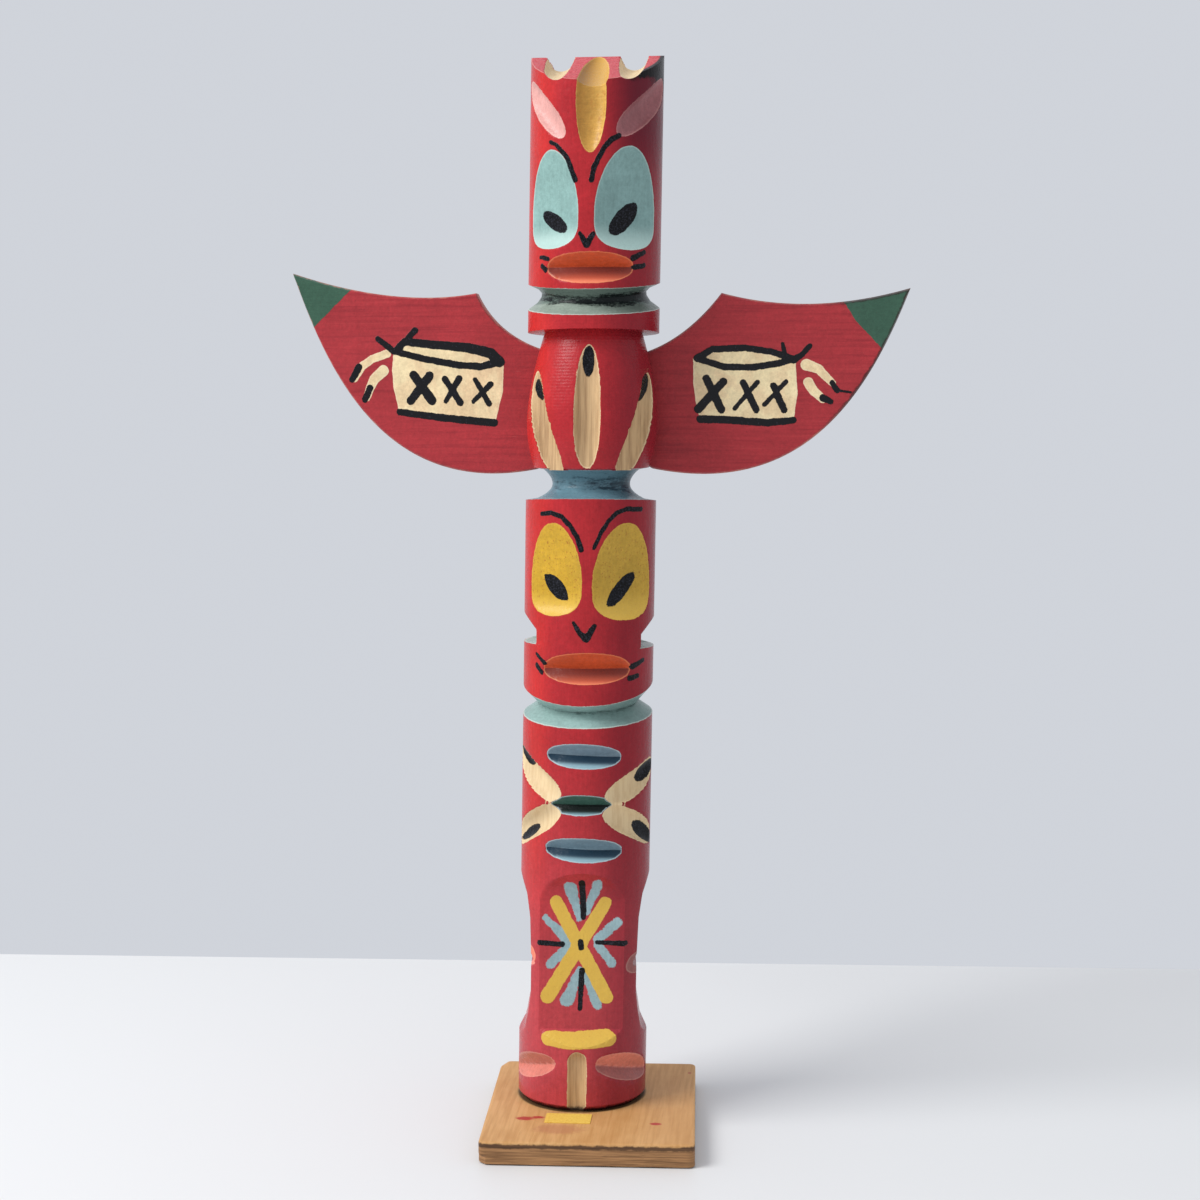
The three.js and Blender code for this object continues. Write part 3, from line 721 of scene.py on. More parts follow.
FACE_DABS = [
    ([(-51, 259.5), (-22, 253.5)], [(-30, 258.1), (-42, 255.3)]),
    ([(48, 261.6), (20, 252.7)], [(27, 258.9), (43, 255.8)]),
    ([(54, 156.9), (24, 147.6)], [(32, 154.2), (45, 151.6)]),
    ([(1, 221.4), (1, 212.6)], [(-5.2, 218.2), (7.2, 218.2)]),
    ([(-65, 212.6), (-55, 207.0)], [(-55, 210.8), (-64, 208.4)]),
    ([(72, 214.0), (58, 207.0)], [(58, 212.0), (70, 208.4)]),
    ([(-84, 104.8), (-62, 101.4)], [(-66, 104.6), (-72, 100.6)]),
    ([(-84, 77.6), (-52, 82.6)], [(-64, 82.2), (-64, 78.6)]),
    ([(92, 100.6), (66, 96.8)], [(76, 101.0), (76, 96.4)]),
    ([(92, 77.2), (63, 83.4)], [(74, 83.2), (72, 78.4)]),
]
LEFT_PUPIL_LOW = ((-43, 156.8), (-14.0, 149.7), 5.0)
STAR_SUN = [
    ([(-6.9, 61.4), (8.1, 33.2)], 3.8, 4.1), ([(7.4, 61.2), (-9.0, 33.2)], 3.8, 4.3),
]
STAR_SKY = [
    ([(-2.8, 66.0), (-0.1, 56.5)], 3.7, 1.8), ([(5.4, 67.3), (1.9, 58.4)], 2.8, 2.2),
    ([(-10.0, 56.6), (-6.4, 53.2), (-2.4, 48.9)], 1.8, 3.7), ([(-3.1, 48.1), (-8.3, 42.9)], 2.5, 3.0),
    ([(11.0, 55.6), (5.4, 50.4)], 3.0, 2.8), ([(5.4, 48.6), (9.6, 43.4)], 2.5, 2.8),
    ([(0.2, 41.4), (-3.3, 32.2)], 1.8, 4.0), ([(1.6, 40.4), (5.4, 30.9)], 1.5, 3.0),
]
STAR_INK = [
    ([(0.7, 67.6), (1.1, 56.9)], 1.9, 1.7), ([(-11.6, 49.2), (-4.9, 48.8)], 1.6, 1.7),
    ([(5.1, 49.5), (13.3, 49.2)], 1.3, 1.7), ([(0.9, 41.0), (0.5, 29.6)], 1.8, 1.3),
    ([(0.4, 49.6), (0.6, 47.8)], 1.8, 1.8),
]


def round_pole(points):
    """Degrees round the pole turned into millimetres along its surface."""
    return [(math.radians(angle) * RADIUS, height) for angle, height in points]


def all_strokes(u, v, strokes, convert=list):
    """The union of several strokes."""
    return np.max([stroke(u, v, convert(line), *widths) for line, *widths in strokes], 0)


u = np.radians(phi) * RADIUS
ahead = np.abs(phi) < 100
on_apron = (np.abs(phi) < 60) & (z > 26) & (z < 70)
face_ink = all_strokes(u, z, FACE_STROKES, round_pole)
for ends, sides in FACE_DABS:
    face_ink = np.maximum(face_ink, dab(u, z, round_pole(ends), round_pole(sides)))
face_ink = np.maximum(face_ink, leaf_shape(u, z, *round_pole(LEFT_PUPIL_LOW[:2]), LEFT_PUPIL_LOW[2]))
star_ink = np.where(on_apron, all_strokes(x, z, STAR_INK), NOWHERE)
star_sun = np.where(on_apron, all_strokes(x, z, STAR_SUN), NOWHERE)
bar = stroke(u, z, round_pole([(-28, 21.2), (-8, 20.8), (30, 21.5)]), 4.0, 4.4)
bar = np.minimum(bar, 24.0 - z)

# %% Every paint's distance on the pole
LEAF_NAMES = [name for name in LEAVES if name.startswith("leg")]
creases = []
for direction, crease, half_angle, *_, tilt in V_CUTS.values():
    angle = wrapped(phi - direction)
    rise = crease + math.tan(math.radians(tilt)) * np.radians(angle) * RADIUS - z
    creases.append(np.where(np.abs(angle) < half_angle + 12, rise, 90.0))
creases = np.array(creases)
below_crease = np.take_along_axis(creases, np.abs(creases).argmin(0)[None], 0)[0]
below_eye = np.where(z > 210, EYES["upper_left"][2], EYES["lower_left"][2]) - z
ledges = [np.minimum(side(f"jaw_{k}"), 137.2 + raised - z) for k, raised in JAW_LIFT.items()]
hips = [dab(u, z, round_pole([(-60, 48.6), (-58, 41.2)]), round_pole([(-42, 45.0), (-75, 45.0)])),
        dab(u, z, round_pole([(62, 46.0), (58, 39.6)]), round_pole([(46, 42.6), (75, 42.6)]))]
side_paint = {
    "mint": side("eye_upper_left", "eye_upper_right"),
    "yellow": np.maximum.reduce([side("eye_lower_left", "eye_lower_right"), star_sun, bar]),
    "gold": side("forelock", "forehead"),
    "orange": side("upper_mouth", "lower_mouth"),
    "collar": np.maximum.reduce([side("neck"), side("cove"), side("chin"), *ledges]),
    "slate": side("upper_lozenge", "middle_lozenge", "lower_lozenge"),
    "cream": side("flute", *LEAF_NAMES, *BREAST),
    "pink": np.maximum.reduce([side("crown_left", "crown_right", "left_toe", "right_toe"), *hips]),
    "ink": np.where(ahead, np.maximum(face_ink, star_ink), NOWHERE),
    "sky": np.where(on_apron, all_strokes(x, z, STAR_SKY), NOWHERE),
    "end_grain": np.clip(z - z[-1], NOWHERE, 0),
    "below_crease": below_crease,
    "below_eye": below_eye,
    "depth": RADIUS - radius,
}
rim_distance = np.hypot(cap_x, cap_y)
crown_paint = {
    "gold": top("forehead"),
    "cream": top("left_groove", "right_groove"),
    "end_grain": np.clip(rim_distance[0] - rim_distance, 0, DEEPEST),
}
pole_fields = {}
for name, values in side_paint.items():
    crown_values = crown_paint.get(name, np.full(cap_x.shape, NOWHERE))
    ends = [NOWHERE, crown_values[-1, 0]]
    pole_fields[name] = np.concatenate([values.ravel(), crown_values[1:].ravel(), ends])
print("paint distances on the pole:", ", ".join(pole_fields))

# %% Build the carved pole
pole_loops = standing(
    np.vstack([x, cap_x[1:]]), np.vstack([y, cap_y[1:]]), np.vstack([z, cap_z[1:]]))
nil = np.array([0.0])
foot_centre = standing(nil, nil, nil + GLUE_GAP)
crown_centre = standing(nil, nil, crown(nil, nil))
pole = loft("carved_pole_painted", pole_loops, foot_centre, crown_centre, pole_fields)

# %% [markdown]
# ## The wings
# One flat board, sawn to an outline that is wider than it is tall. Each wing's top edge is a hollow
# curve from the tip to a pointed shoulder and another down to the pole; the bottom edge is one long
# sweep. The curves are Bezier curves, which blend their corner points by powers of a share t.

# %% Wing outline
WING_FRONT = 8.5
WING_THICK = wing_high[1] - wing_low[1]
WING_EDGE = {"deep": 0.9, "wide": 0.54}
SLOT = {"bottom": 188.6, "top": 220.6, "half": 14.0}
WINGS = {
    -1: {"tip": (-91.3, 244.3), "bow": (-60, 234.0), "shoulder": (-36, 238.2), "neck": (-30, 225.8),
         "top": (-15.4, 221.4), "bottom": (-17.2, 186.3), "belly": (-63.5, 177.2), "blade": (-81, 216)},
    1: {"tip": (91.2, 239.0), "bow": (62.5, 230.8), "shoulder": (36.5, 237.9), "neck": (27, 225.3),
        "top": (15.2, 221.0), "bottom": (17.1, 186.6), "belly": (63, 177.4), "blade": (80.5, 210)},
}


def bezier(*corners, steps=400):
    """A Bezier curve: corner number k is weighted by n-choose-k, t to the k, (1-t) to the rest."""
    t = np.linspace(0, 1, steps)[:, None]
    n = len(corners) - 1
    weights = [math.comb(n, k) * t**k * (1 - t) ** (n - k) for k in range(n + 1)]
    return sum(weight * np.array(corner, float) for weight, corner in zip(weights, corners))


def wing_edges(across):
    """Heights of the bottom and the top edge at each distance across."""
    tops, bottoms = [], []
    for side, wing in WINGS.items():
        top = np.vstack([
            bezier(wing["tip"], wing["bow"], wing["shoulder"]),
            bezier(wing["shoulder"], wing["neck"], wing["top"])[1:],
            [(side * SLOT["half"], SLOT["top"])]])
        bottom = np.vstack([
            bezier(wing["tip"], wing["blade"], wing["belly"], wing["bottom"]),
            [(side * SLOT["half"], SLOT["bottom"])]])
        tops.append(top if side < 0 else top[::-1])
        bottoms.append(bottom if side < 0 else bottom[::-1])
    top, bottom = np.vstack(tops), np.vstack(bottoms)
    return np.interp(across, *bottom.T), np.interp(across, *top.T)


# %% Build the wing board
left_tip, right_tip = WINGS[-1]["tip"], WINGS[1]["tip"]
marks = [left_tip[0], WINGS[-1]["shoulder"][0], -SLOT["half"],
         SLOT["half"], WINGS[1]["shoulder"][0], right_tip[0]]
columns_across = [marks[0]]
for low, high, step in zip(marks[:-1], marks[1:], (0.4, 0.42, 1.4, 0.42, 0.4)):
    count = math.ceil((high - low) / step)
    columns_across += list(np.linspace(low, high, count + 1)[1:])
across = np.array(columns_across)
across = np.sort(np.concatenate([across[1:-1], left_tip[0] + np.array([0.05, 0.15]),
                                 right_tip[0] - np.array([0.05, 0.15])]))
wing_bottom, wing_top = wing_edges(across)
slant = np.hypot(1, np.gradient(wing_top, across)), np.hypot(1, np.gradient(wing_bottom, across))
tall = wing_top - wing_bottom
chamfer_top = np.minimum(WING_EDGE["wide"] * np.minimum(slant[0], 1.6), tall * 0.3)
chamfer_bottom = np.minimum(WING_EDGE["wide"] * np.minimum(slant[1], 1.6), tall * 0.3)
FRONT_ROWS, BACK_ROWS, EDGE_ROWS = 126, 22, 5
near_tip = np.clip(np.minimum(across - left_tip[0], right_tip[0] - across) / WING_EDGE["wide"], 0, 1)
front_face = WING_FRONT + WING_EDGE["deep"] * (1 - near_tip)
back_face = WING_FRONT + WING_THICK - WING_EDGE["deep"] * (1 - near_tip)
front_side, back_side = WING_FRONT + WING_EDGE["deep"], WING_FRONT + WING_THICK - WING_EDGE["deep"]


def section(share, start, end):
    """Points from start to end at each share: one row of points for each column across."""
    return start[:, None] + (end - start)[:, None] * share


up = np.linspace(0, 1, FRONT_ROWS)
down = np.linspace(1, 0, BACK_ROWS)
thick = np.linspace(0, 1, EDGE_ROWS)
section_z = np.hstack([
    section(up, wing_bottom + chamfer_bottom, wing_top - chamfer_top),
    section(0 * thick, wing_top, wing_top),
    section(down, wing_bottom + chamfer_bottom, wing_top - chamfer_top),
    section(0 * thick, wing_bottom, wing_bottom)])
ones = np.ones(len(across))
section_y = np.hstack([
    section(0 * up, front_face, front_face),
    section(thick, ones * front_side, ones * back_side),
    section(0 * down, back_face, back_face),
    section(thick[::-1], ones * front_side, ones * back_side)])
section_x = np.broadcast_to(across[:, None], section_z.shape)
wing_middle = WING_FRONT + WING_THICK / 2
wing_first = standing(np.array([left_tip[0]]), np.array([wing_middle]), np.array([left_tip[1]]))
wing_last = standing(np.array([right_tip[0]]), np.array([wing_middle]), np.array([right_tip[1]]))

# %% [markdown]
# ## The drums
# Each wing carries a drum with three crosses, a bow at its rim and two feathers hanging from it.
# The tips are green. All of it is painted on the front only, but the green goes round the edge.

# %% Paint on the wings
DRUMS = {
    "body": [
        [(-60.6, 220.8), (-60.9, 215.8), (-60.5, 210.5), (-58.8, 203.4), (-29.7, 200.4), (-27.6, 209.1),
         (-27.4, 218.0), (-44, 220.0)],
        [(28.6, 218.9), (28.8, 211.5), (30.1, 203.5), (31.1, 201.2), (58.4, 200.9), (59.3, 208.6),
         (58.5, 218.6), (44, 219.0)]],
    "rim": [
        ([(-60.2, 221.1), (-57.2, 224.0), (-47.8, 223.0), (-38.4, 222.2), (-31.4, 220.6), (-28.8, 218.0)],
         2.0, 3.4),
        ([(-60.2, 221.1), (-51.1, 218.9), (-41.0, 217.1), (-34.3, 216.6), (-28.8, 218.0)], 1.9, 2.3),
        ([(29.7, 218.9), (34.2, 221.5), (43.7, 221.9), (51.6, 220.7), (57.9, 218.6)], 2.0, 1.9),
        ([(29.7, 218.9), (37.5, 216.4), (45.7, 216.2), (53.3, 217.3), (57.9, 218.6)], 2.0, 1.9)],
    "base": [
        ([(-58.6, 203.2), (-44.0, 201.3), (-30.1, 200.0)], 2.0, 2.4),
        ([(31.1, 201.1), (37.8, 201.0), (50.5, 200.1), (58.2, 200.8)], 2.4, 2.1)],
    "crosses": [
        ([(-54.5, 214.2), (-48.9, 206.6)], 2.6, 2.9), ([(-49.7, 213.9), (-55.2, 206.6)], 2.7, 2.6),
        ([(-45.1, 213.1), (-40.3, 206.0)], 1.8, 2.1), ([(-40.8, 213.1), (-44.7, 206.4)], 2.1, 1.5),
        ([(-36.0, 212.8), (-31.7, 205.7)], 1.4, 1.9), ([(-31.3, 211.4), (-36.4, 206.3)], 1.9, 1.4),
        ([(32.6, 213.0), (37.2, 203.9)], 2.4, 2.4), ([(37.6, 212.1), (30.5, 204.1)], 2.4, 2.7),
        ([(43.4, 211.8), (47.4, 203.8)], 2.0, 2.1), ([(47.6, 211.9), (41.1, 204.3)], 1.5, 1.4),
        ([(52.2, 210.9), (55.5, 203.8)], 2.0, 2.1), ([(55.9, 212.0), (49.8, 205.4)], 1.5, 1.4)],
    "bow": [
        ([(-65.3, 224.9), (-62.4, 222.7), (-60.4, 221.0)], 1.7, 1.9),
        ([(-60.2, 221.1), (-58.2, 222.6)], 2.1, 1.9), ([(-57.6, 223.6), (-54.2, 227.3)], 1.5, 2.1),
        ([(57.9, 218.3), (60.4, 219.9), (62.5, 222.4)], 2.1, 1.5),
        ([(54.7, 223.1), (55.4, 219.6)], 1.0, 1.4)],
    "feathers": [
        ([(-62.5, 220.5), (-67.0, 218.9), (-70.0, 216.8), (-72.4, 213.2)], 2.4, 2.4),
        ([(-63.6, 215.4), (-66.3, 213.0), (-67.6, 210.2), (-68.6, 207.4)], 3.4, 2.2),
        ([(61.7, 217.0), (65.3, 215.6), (69.5, 211.5)], 3.4, 2.0),
        ([(62.4, 211.8), (63.9, 209.4), (66.7, 207.0)], 3.0, 2.4)],
    "feather_tips": [
        ([(-71.0, 216.5), (-73.0, 212.9)], 2.2, 2.0), ([(-67.6, 210.3), (-69.1, 206.9)], 2.1, 1.9),
        ([(69.3, 211.7), (70.8, 209.5)], 1.6, 1.9), ([(70.6, 209.6), (74.9, 208.9)], 0.8, 0.7),
        ([(66.7, 207.4), (69.0, 206.2)], 2.2, 1.7)],
}
DRUM_MOUTHS = [
    [(-60, 221.3), (-56.6, 223.2), (-40, 221.6), (-30.5, 219.0), (-33.4, 217.2), (-42, 218.0)],
    [(30.4, 219.0), (34.6, 221.0), (43.7, 221.4), (57.0, 218.8), (45.7, 216.8), (37.5, 217.0)],
]
TIP_LINES = [[(-72.8, 240.2), (-83.9, 229.1)], [(80.9, 224.2), (75.8, 229.5), (70.9, 236.8)]]


def patch(u, v, corners):
    """Distance inside an outline of straight pieces that bulges everywhere."""
    middle = np.mean(corners, 0)
    best = np.full(np.shape(u), DEEPEST)
    for a, b in zip(corners, corners[1:] + corners[:1]):
        normal = np.array([b[1] - a[1], a[0] - b[0]]) / math.dist(a, b)
        normal = normal if normal @ (middle - a) > 0 else -normal
        best = np.minimum(best, (u - a[0]) * normal[0] + (v - a[1]) * normal[1])
    return np.maximum(best, NOWHERE)


def beyond_line(u, v, line):
    """Distance past a line of pieces, on its left side."""
    best = np.full(np.shape(u), DEEPEST)
    for a, b in zip(line[:-1], line[1:]):
        length = math.dist(a, b)
        best = np.minimum(best, ((v - a[1]) * (b[0] - a[0]) - (u - a[0]) * (b[1] - a[1])) / -length)
    return np.maximum(best, NOWHERE)


on_front = np.zeros(section_x.shape, bool)
on_front[:, :FRONT_ROWS] = True
drum_body = np.max([patch(section_x, section_z, corners) for corners in DRUMS["body"] + DRUM_MOUTHS], 0)
drum_feathers = all_strokes(section_x, section_z, DRUMS["feathers"])
ink_parts = DRUMS["rim"] + DRUMS["base"] + DRUMS["crosses"] + DRUMS["bow"] + DRUMS["feather_tips"]
rim_distance = np.minimum((section_z - wing_bottom[:, None]) / slant[1][:, None],
                          (wing_top[:, None] - section_z) / slant[0][:, None])
tips = np.max([beyond_line(section_x, section_z, line) for line in TIP_LINES], 0)
wing_paint = {
    "cream": np.where(on_front, np.maximum(drum_body, drum_feathers), NOWHERE),
    "ink": np.where(on_front, all_strokes(section_x, section_z, ink_parts), NOWHERE),
    "tips": tips,
    "edge": np.clip(rim_distance, 0, DEEPEST),
}
wing_fields = {name: np.concatenate([values.ravel(), values[0, :1], values[-1, :1]])
               for name, values in wing_paint.items()}
wing_loops = standing(section_x, section_y, section_z)
wings = loft("wing_board_painted", wing_loops, wing_first, wing_last, wing_fields)

# %% [markdown]
# ## The foot board
# A little rectangle of plywood, set a few degrees askew, one back corner sawn off and one front
# corner chipped underneath. Its outline is written as a distance from the middle in each direction,
# the nearest of its straight sides, and every loop of the mesh is that outline a little smaller.

# %% Build the foot board
BOARD = {"width": 60.7, "depth": 70.8, "turn": 2.7, "corner": 1.8, "worn": 0.6}
CLIPPED = {"side": 5.0, "back": 2.0}
CHIP = {"reach": 2.15, "high": 2.6}
SPOKES = 352


def cut_off(reach, facing, distance, least):
    """An outline cut by a straight side: the side's distance divided by how squarely it is faced."""
    return np.where(facing > least, np.minimum(reach, distance / np.maximum(facing, least)), reach)


def board_outline(angle, inset=0.0, chip=0.0):
    """Distance from the middle to the outline, each side moved in by inset. A rounded corner is a
    circle about the point one corner radius in from both sides."""
    c, s = np.cos(angle), np.sin(angle)
    half_x, half_y = BOARD["width"] / 2 - inset, BOARD["depth"] / 2 - inset
    reach = np.minimum(half_x / np.maximum(np.abs(c), 1e-6), half_y / np.maximum(np.abs(s), 1e-6))
    corner = max(BOARD["corner"] - inset, 0.2)
    cx, cy = half_x - corner, half_y - corner
    along = np.abs(c) * cx + np.abs(s) * cy
    off = cx**2 + cy**2 - corner**2
    root = along**2 - off
    circle = along + np.sqrt(np.maximum(root, 0))
    in_corner = (np.abs(c) * circle > cx) & (np.abs(s) * circle > cy) & (root > 0)
    back_left = (c < 0) & (s > 0)
    reach = np.where(in_corner & ~back_left, circle, reach)
    nx, ny = -CLIPPED["side"], CLIPPED["back"]
    length = math.hypot(nx, ny)
    px, py = -BOARD["width"] / 2, BOARD["depth"] / 2 - CLIPPED["side"]
    edge = (nx * px + ny * py) / length - inset
    reach = cut_off(reach, (nx * c + ny * s) / length, edge, 0.05)
    if chip:
        edge = (BOARD["width"] / 2 + BOARD["depth"] / 2 - chip) / math.sqrt(2)
        reach = cut_off(reach, (-c - s) / math.sqrt(2), edge, 0.3)
    return reach


spokes = np.linspace(-np.pi, np.pi, SPOKES, endpoint=False) + 0.003
worn = BOARD["worn"]
levels = [(0.0, 0.0, CHIP["reach"], share) for share in np.linspace(0.15, 1, 5)]
levels += [(height, 0.0, CHIP["reach"], 1.0) for height in np.linspace(0, CHIP["high"], 5)[1:]]
levels += [(height, 0.0, 0.0, 1.0) for height in np.linspace(CHIP["high"] + 0.03, BOARD_TOP - worn, 6)]
levels += [(BOARD_TOP - 0.2, 0.15, 0.0, 1.0), (BOARD_TOP, worn, 0.0, 1.0)]
levels += [(BOARD_TOP, worn, 0.0, share) for share in np.linspace(1, 0.03, 44)[1:]]
loops = []
for height, inset, chip, share in levels:
    reach = board_outline(spokes, inset, chip) * share
    loops.append(np.stack([reach * np.cos(spokes), reach * np.sin(spokes), np.full(SPOKES, height)], -1))
loops = np.array(loops)
turn = math.radians(BOARD["turn"])
swing = np.array([[math.cos(turn), -math.sin(turn), 0], [math.sin(turn), math.cos(turn), 0], [0, 0, 1]])
middle = np.array([[0, 0, 0.0], [0, 0, BOARD_TOP]])
foot = loft("foot_board_stained", loops @ swing.T * MM, middle[:1] * MM, middle[1:] * MM)

# %% [markdown]
# ## The label
# A scrap of yellow paper glued to the front of the board. Nothing is written on it.

# %% Build the label
label_size = label_high - label_low
label_middle = (label_high + label_low) / 2
LABEL_TURN = math.radians(1)
LABEL_HALF = (6.6, 3.8)
label_loops = [(share, label_size[2]) for share in np.linspace(0.03, 1, 16)]
label_loops += [(share, 0.0) for share in (1.0, 0.5, 0.05)]
angles = np.linspace(0, 2 * np.pi, 120, endpoint=False) + 0.01
ray = np.stack([np.cos(angles), np.sin(angles)], -1)
outline = ray / np.max(np.abs(ray) / LABEL_HALF, 1)[:, None]
c, s = math.cos(LABEL_TURN), math.sin(LABEL_TURN)
outline = outline @ np.array([[c, s], [-s, c]])
points = np.array([
    np.column_stack([outline * share + label_middle[:2], np.full(len(outline), label_low[2] + high)])
    for share, high in label_loops])
ends = np.array([[*label_middle[:2], label_high[2]], [*label_middle[:2], label_low[2]]])
label = loft("paper_label", points * MM, ends[:1] * MM, ends[1:] * MM)

# %% [markdown]
# ## Building materials from nodes
# A material here is a chain of coats. Each coat takes what is under it, a colour, a roughness and a
# height, and covers part of it. A few short helpers keep the wiring readable.


# %% Helpers for nodes
def rgb(red, green, blue):
    """A colour as seen on a screen, 0 to 255, turned into the amounts of light that nodes use."""
    seen = np.array([red, green, blue]) / 255
    light = np.where(seen <= 0.04045, seen / 12.92, ((seen + 0.055) / 1.055) ** 2.4)
    return (*light.tolist(), 1.0)


def grey(share):
    """A share from 0 to 1 as a colour, so that a colour ramp can hold it."""
    return (share, share, share, 1.0)


class Wires:
    """Short names for making and joining the nodes of one tree."""

    def __init__(self, tree):
        self.tree = tree

    def plug(self, socket, value):
        """A socket is joined, a plain value is typed in."""
        if isinstance(value, bpy.types.NodeSocket):
            self.tree.links.new(value, socket)
        elif value is not None:
            socket.default_value = value

    def node(self, kind, *values, out=0, **settings):
        """Makes a node, sets it, fills its inputs in order and gives back one output."""
        node = self.tree.nodes.new("ShaderNode" + kind)
        for name, value in settings.items():
            setattr(node, name, value)
        for socket, value in zip([s for s in node.inputs if s.enabled], values):
            self.plug(socket, value)
        return [s for s in node.outputs if s.enabled][out]

    def math(self, operation, *values):
        return self.node("Math", *values, operation=operation)

    def times(self, first, *others):
        """Numbers multiplied with each other."""
        for other in others:
            first = self.math("MULTIPLY", first, other)
        return first

    def mix(self, share, under, over):
        """Colours blended by a share."""
        return self.node("Mix", share, under, over, data_type="RGBA")

    def blend(self, share, under, over):
        """Numbers blended by a share."""
        return self.node("Mix", share, under, over, data_type="FLOAT")

    def noise(self, point, scale, detail=2.0, rough=0.5):
        """Soft random spots between 0 and 1."""
        return self.node("TexNoise", point, scale, detail, rough)

    def ragged(self, value, point, scale, reach, detail=4.0):
        """A number made uneven by noise, by up to half the reach either way."""
        uneven = self.math("SUBTRACT", self.noise(point, scale, detail, 0.7), 0.5)
        return self.math("MULTIPLY_ADD", uneven, reach, value)

    def band(self, value, low, high):
        """0 below low, 1 above high, smooth between; the other way round if low is above high."""
        if low > high:
            return self.math("SUBTRACT", 1.0, self.band(value, high, low))
        return self.node("MapRange", value, low, high, interpolation_type="SMOOTHSTEP")

    def scaled(self, point, across, deep, high):
        """A point with its three directions stretched."""
        return self.node("VectorMath", point, (across, deep, high), operation="MULTIPLY")

    def field(self, name):
        """A number stored on the mesh."""
        return self.node("Attribute", out=2, attribute_name=name)

    def millimetres(self):
        """The point of the piece being coloured, in millimetres."""
        return self.scaled(self.node("TexCoord", out=3), 1000, 1000, 1000)

    def part(self, point, axis):
        """One of a point's three numbers: 0 across, 1 deep, 2 high."""
        return self.node("SeparateXYZ", point, out=axis)

    def by_height(self, point, heights, colors):
        """A colour for each stretch of height, from its lowest height up."""
        highest = 400.0
        node = self.tree.nodes.new("ShaderNodeValToRGB")
        node.color_ramp.interpolation = "CONSTANT"
        stops = node.color_ramp.elements
        while len(stops) < len(heights):
            stops.new(0.5)
        for stop, height, color in zip(stops, heights, colors):
            stop.position = height / highest
            stop.color = color
        self.plug(node.inputs[0], self.math("DIVIDE", self.part(point, 2), highest))
        return node.outputs[0]

    def group(self, tree, **values):
        """Puts a node group in and fills it by name; spaces in names are written as underscores."""
        node = self.tree.nodes.new("ShaderNodeGroup")
        node.node_tree = tree
        for name, value in values.items():
            self.plug(node.inputs[name.replace("_", " ")], value)
        return node.outputs


def new_group(name, inputs, outputs):
    """An empty node group with the given sockets, and its wires, inputs and output node."""
    tree = bpy.data.node_groups.new(name, "ShaderNodeTree")
    kinds = {"color": "NodeSocketColor", "float": "NodeSocketFloat", "vector": "NodeSocketVector"}
    for label_text, kind in inputs.items():
        tree.interface.new_socket(name=label_text, in_out="INPUT", socket_type=kinds[kind])
    for label_text, kind in outputs.items():
        tree.interface.new_socket(name=label_text, in_out="OUTPUT", socket_type=kinds[kind])
    start = tree.nodes.new("NodeGroupInput")
    end = tree.nodes.new("NodeGroupOutput")
    return tree, Wires(tree), start.outputs, end.inputs


# %% [markdown]
# ## Three effects that several materials share
# *Brush edge* turns a distance into a coat with an uneven border: slow noise makes the border
# wander, quick noise makes it ragged. *Old enamel* makes one flat colour look like thick old gloss:
# cloudy, streaked by the brush, nicked here and there. *Bare wood* is pale wood with darker pores
# that run along the grain.

# %% Node group: brush edge
brush_edge, w, given, made = new_group(
    "brush_edge",
    {"Distance": "float", "Point": "vector", "Wobble": "float", "Softness": "float"},
    {"Mask": "float", "Rim": "float"},
)
slow = w.math("SUBTRACT", w.noise(given["Point"], 0.55, 1.0), 0.5)
quick = w.math("SUBTRACT", w.noise(given["Point"], 3.2, 2.0, 0.6), 0.5)
shift = w.math("MULTIPLY_ADD", slow, 1.1, w.times(quick, 0.9))
distance = w.math("MULTIPLY_ADD", shift, given["Wobble"], given["Distance"])
softened = w.math("DIVIDE", distance, given["Softness"])
w.plug(made["Mask"], w.band(softened, -1.0, 1.0))
w.plug(made["Rim"], w.times(w.band(distance, 0.5, 0.12), w.band(softened, -0.6, 1.0)))

# %% Node group: old enamel
old_enamel, w, given, made = new_group(
    "old_enamel",
    {"Color": "color", "Point": "vector", "Streaked Point": "vector", "Wear": "float"},
    {"Color": "color", "Roughness": "float", "Height": "float"},
)
cloud = w.noise(given["Point"], 0.09, 3.0, 0.6)
streak = w.noise(given["Streaked Point"], 1.0, 3.0, 0.65)
shade = w.math("MULTIPLY_ADD", cloud, 0.5, 0.75)
shade = w.times(shade, w.math("MULTIPLY_ADD", streak, 0.34, 0.83))
grains = w.noise(given["Point"], 0.9, 4.0, 0.8)
shade = w.times(shade, w.math("MULTIPLY_ADD", grains, 0.7, 0.65))
color = w.node("Mix", 1.0, given["Color"], w.node("CombineColor", shade, shade, shade),
               data_type="RGBA", blend_type="MULTIPLY")
specks = w.band(w.noise(given["Point"], 1.15, 4.0, 0.75), 0.66, 0.73)
color = w.mix(w.times(specks, 0.45), color, rgb(70, 22, 26))
scuffs = w.band(w.noise(given["Streaked Point"], 2.2, 5.0, 0.8), 0.64, 0.74)
scuffs = w.times(scuffs, given["Wear"])
color = w.mix(w.times(scuffs, 0.5), color, rgb(226, 150, 140))
w.plug(made["Color"], color)
rough = w.math("MULTIPLY_ADD", cloud, 0.22, 0.16)
w.plug(made["Roughness"], w.math("MULTIPLY_ADD", scuffs, 0.3, rough))
peel = w.noise(given["Point"], 0.45, 3.0, 0.6)
w.plug(made["Height"], w.math("MULTIPLY_ADD", peel, 0.13, w.times(streak, 0.07)))

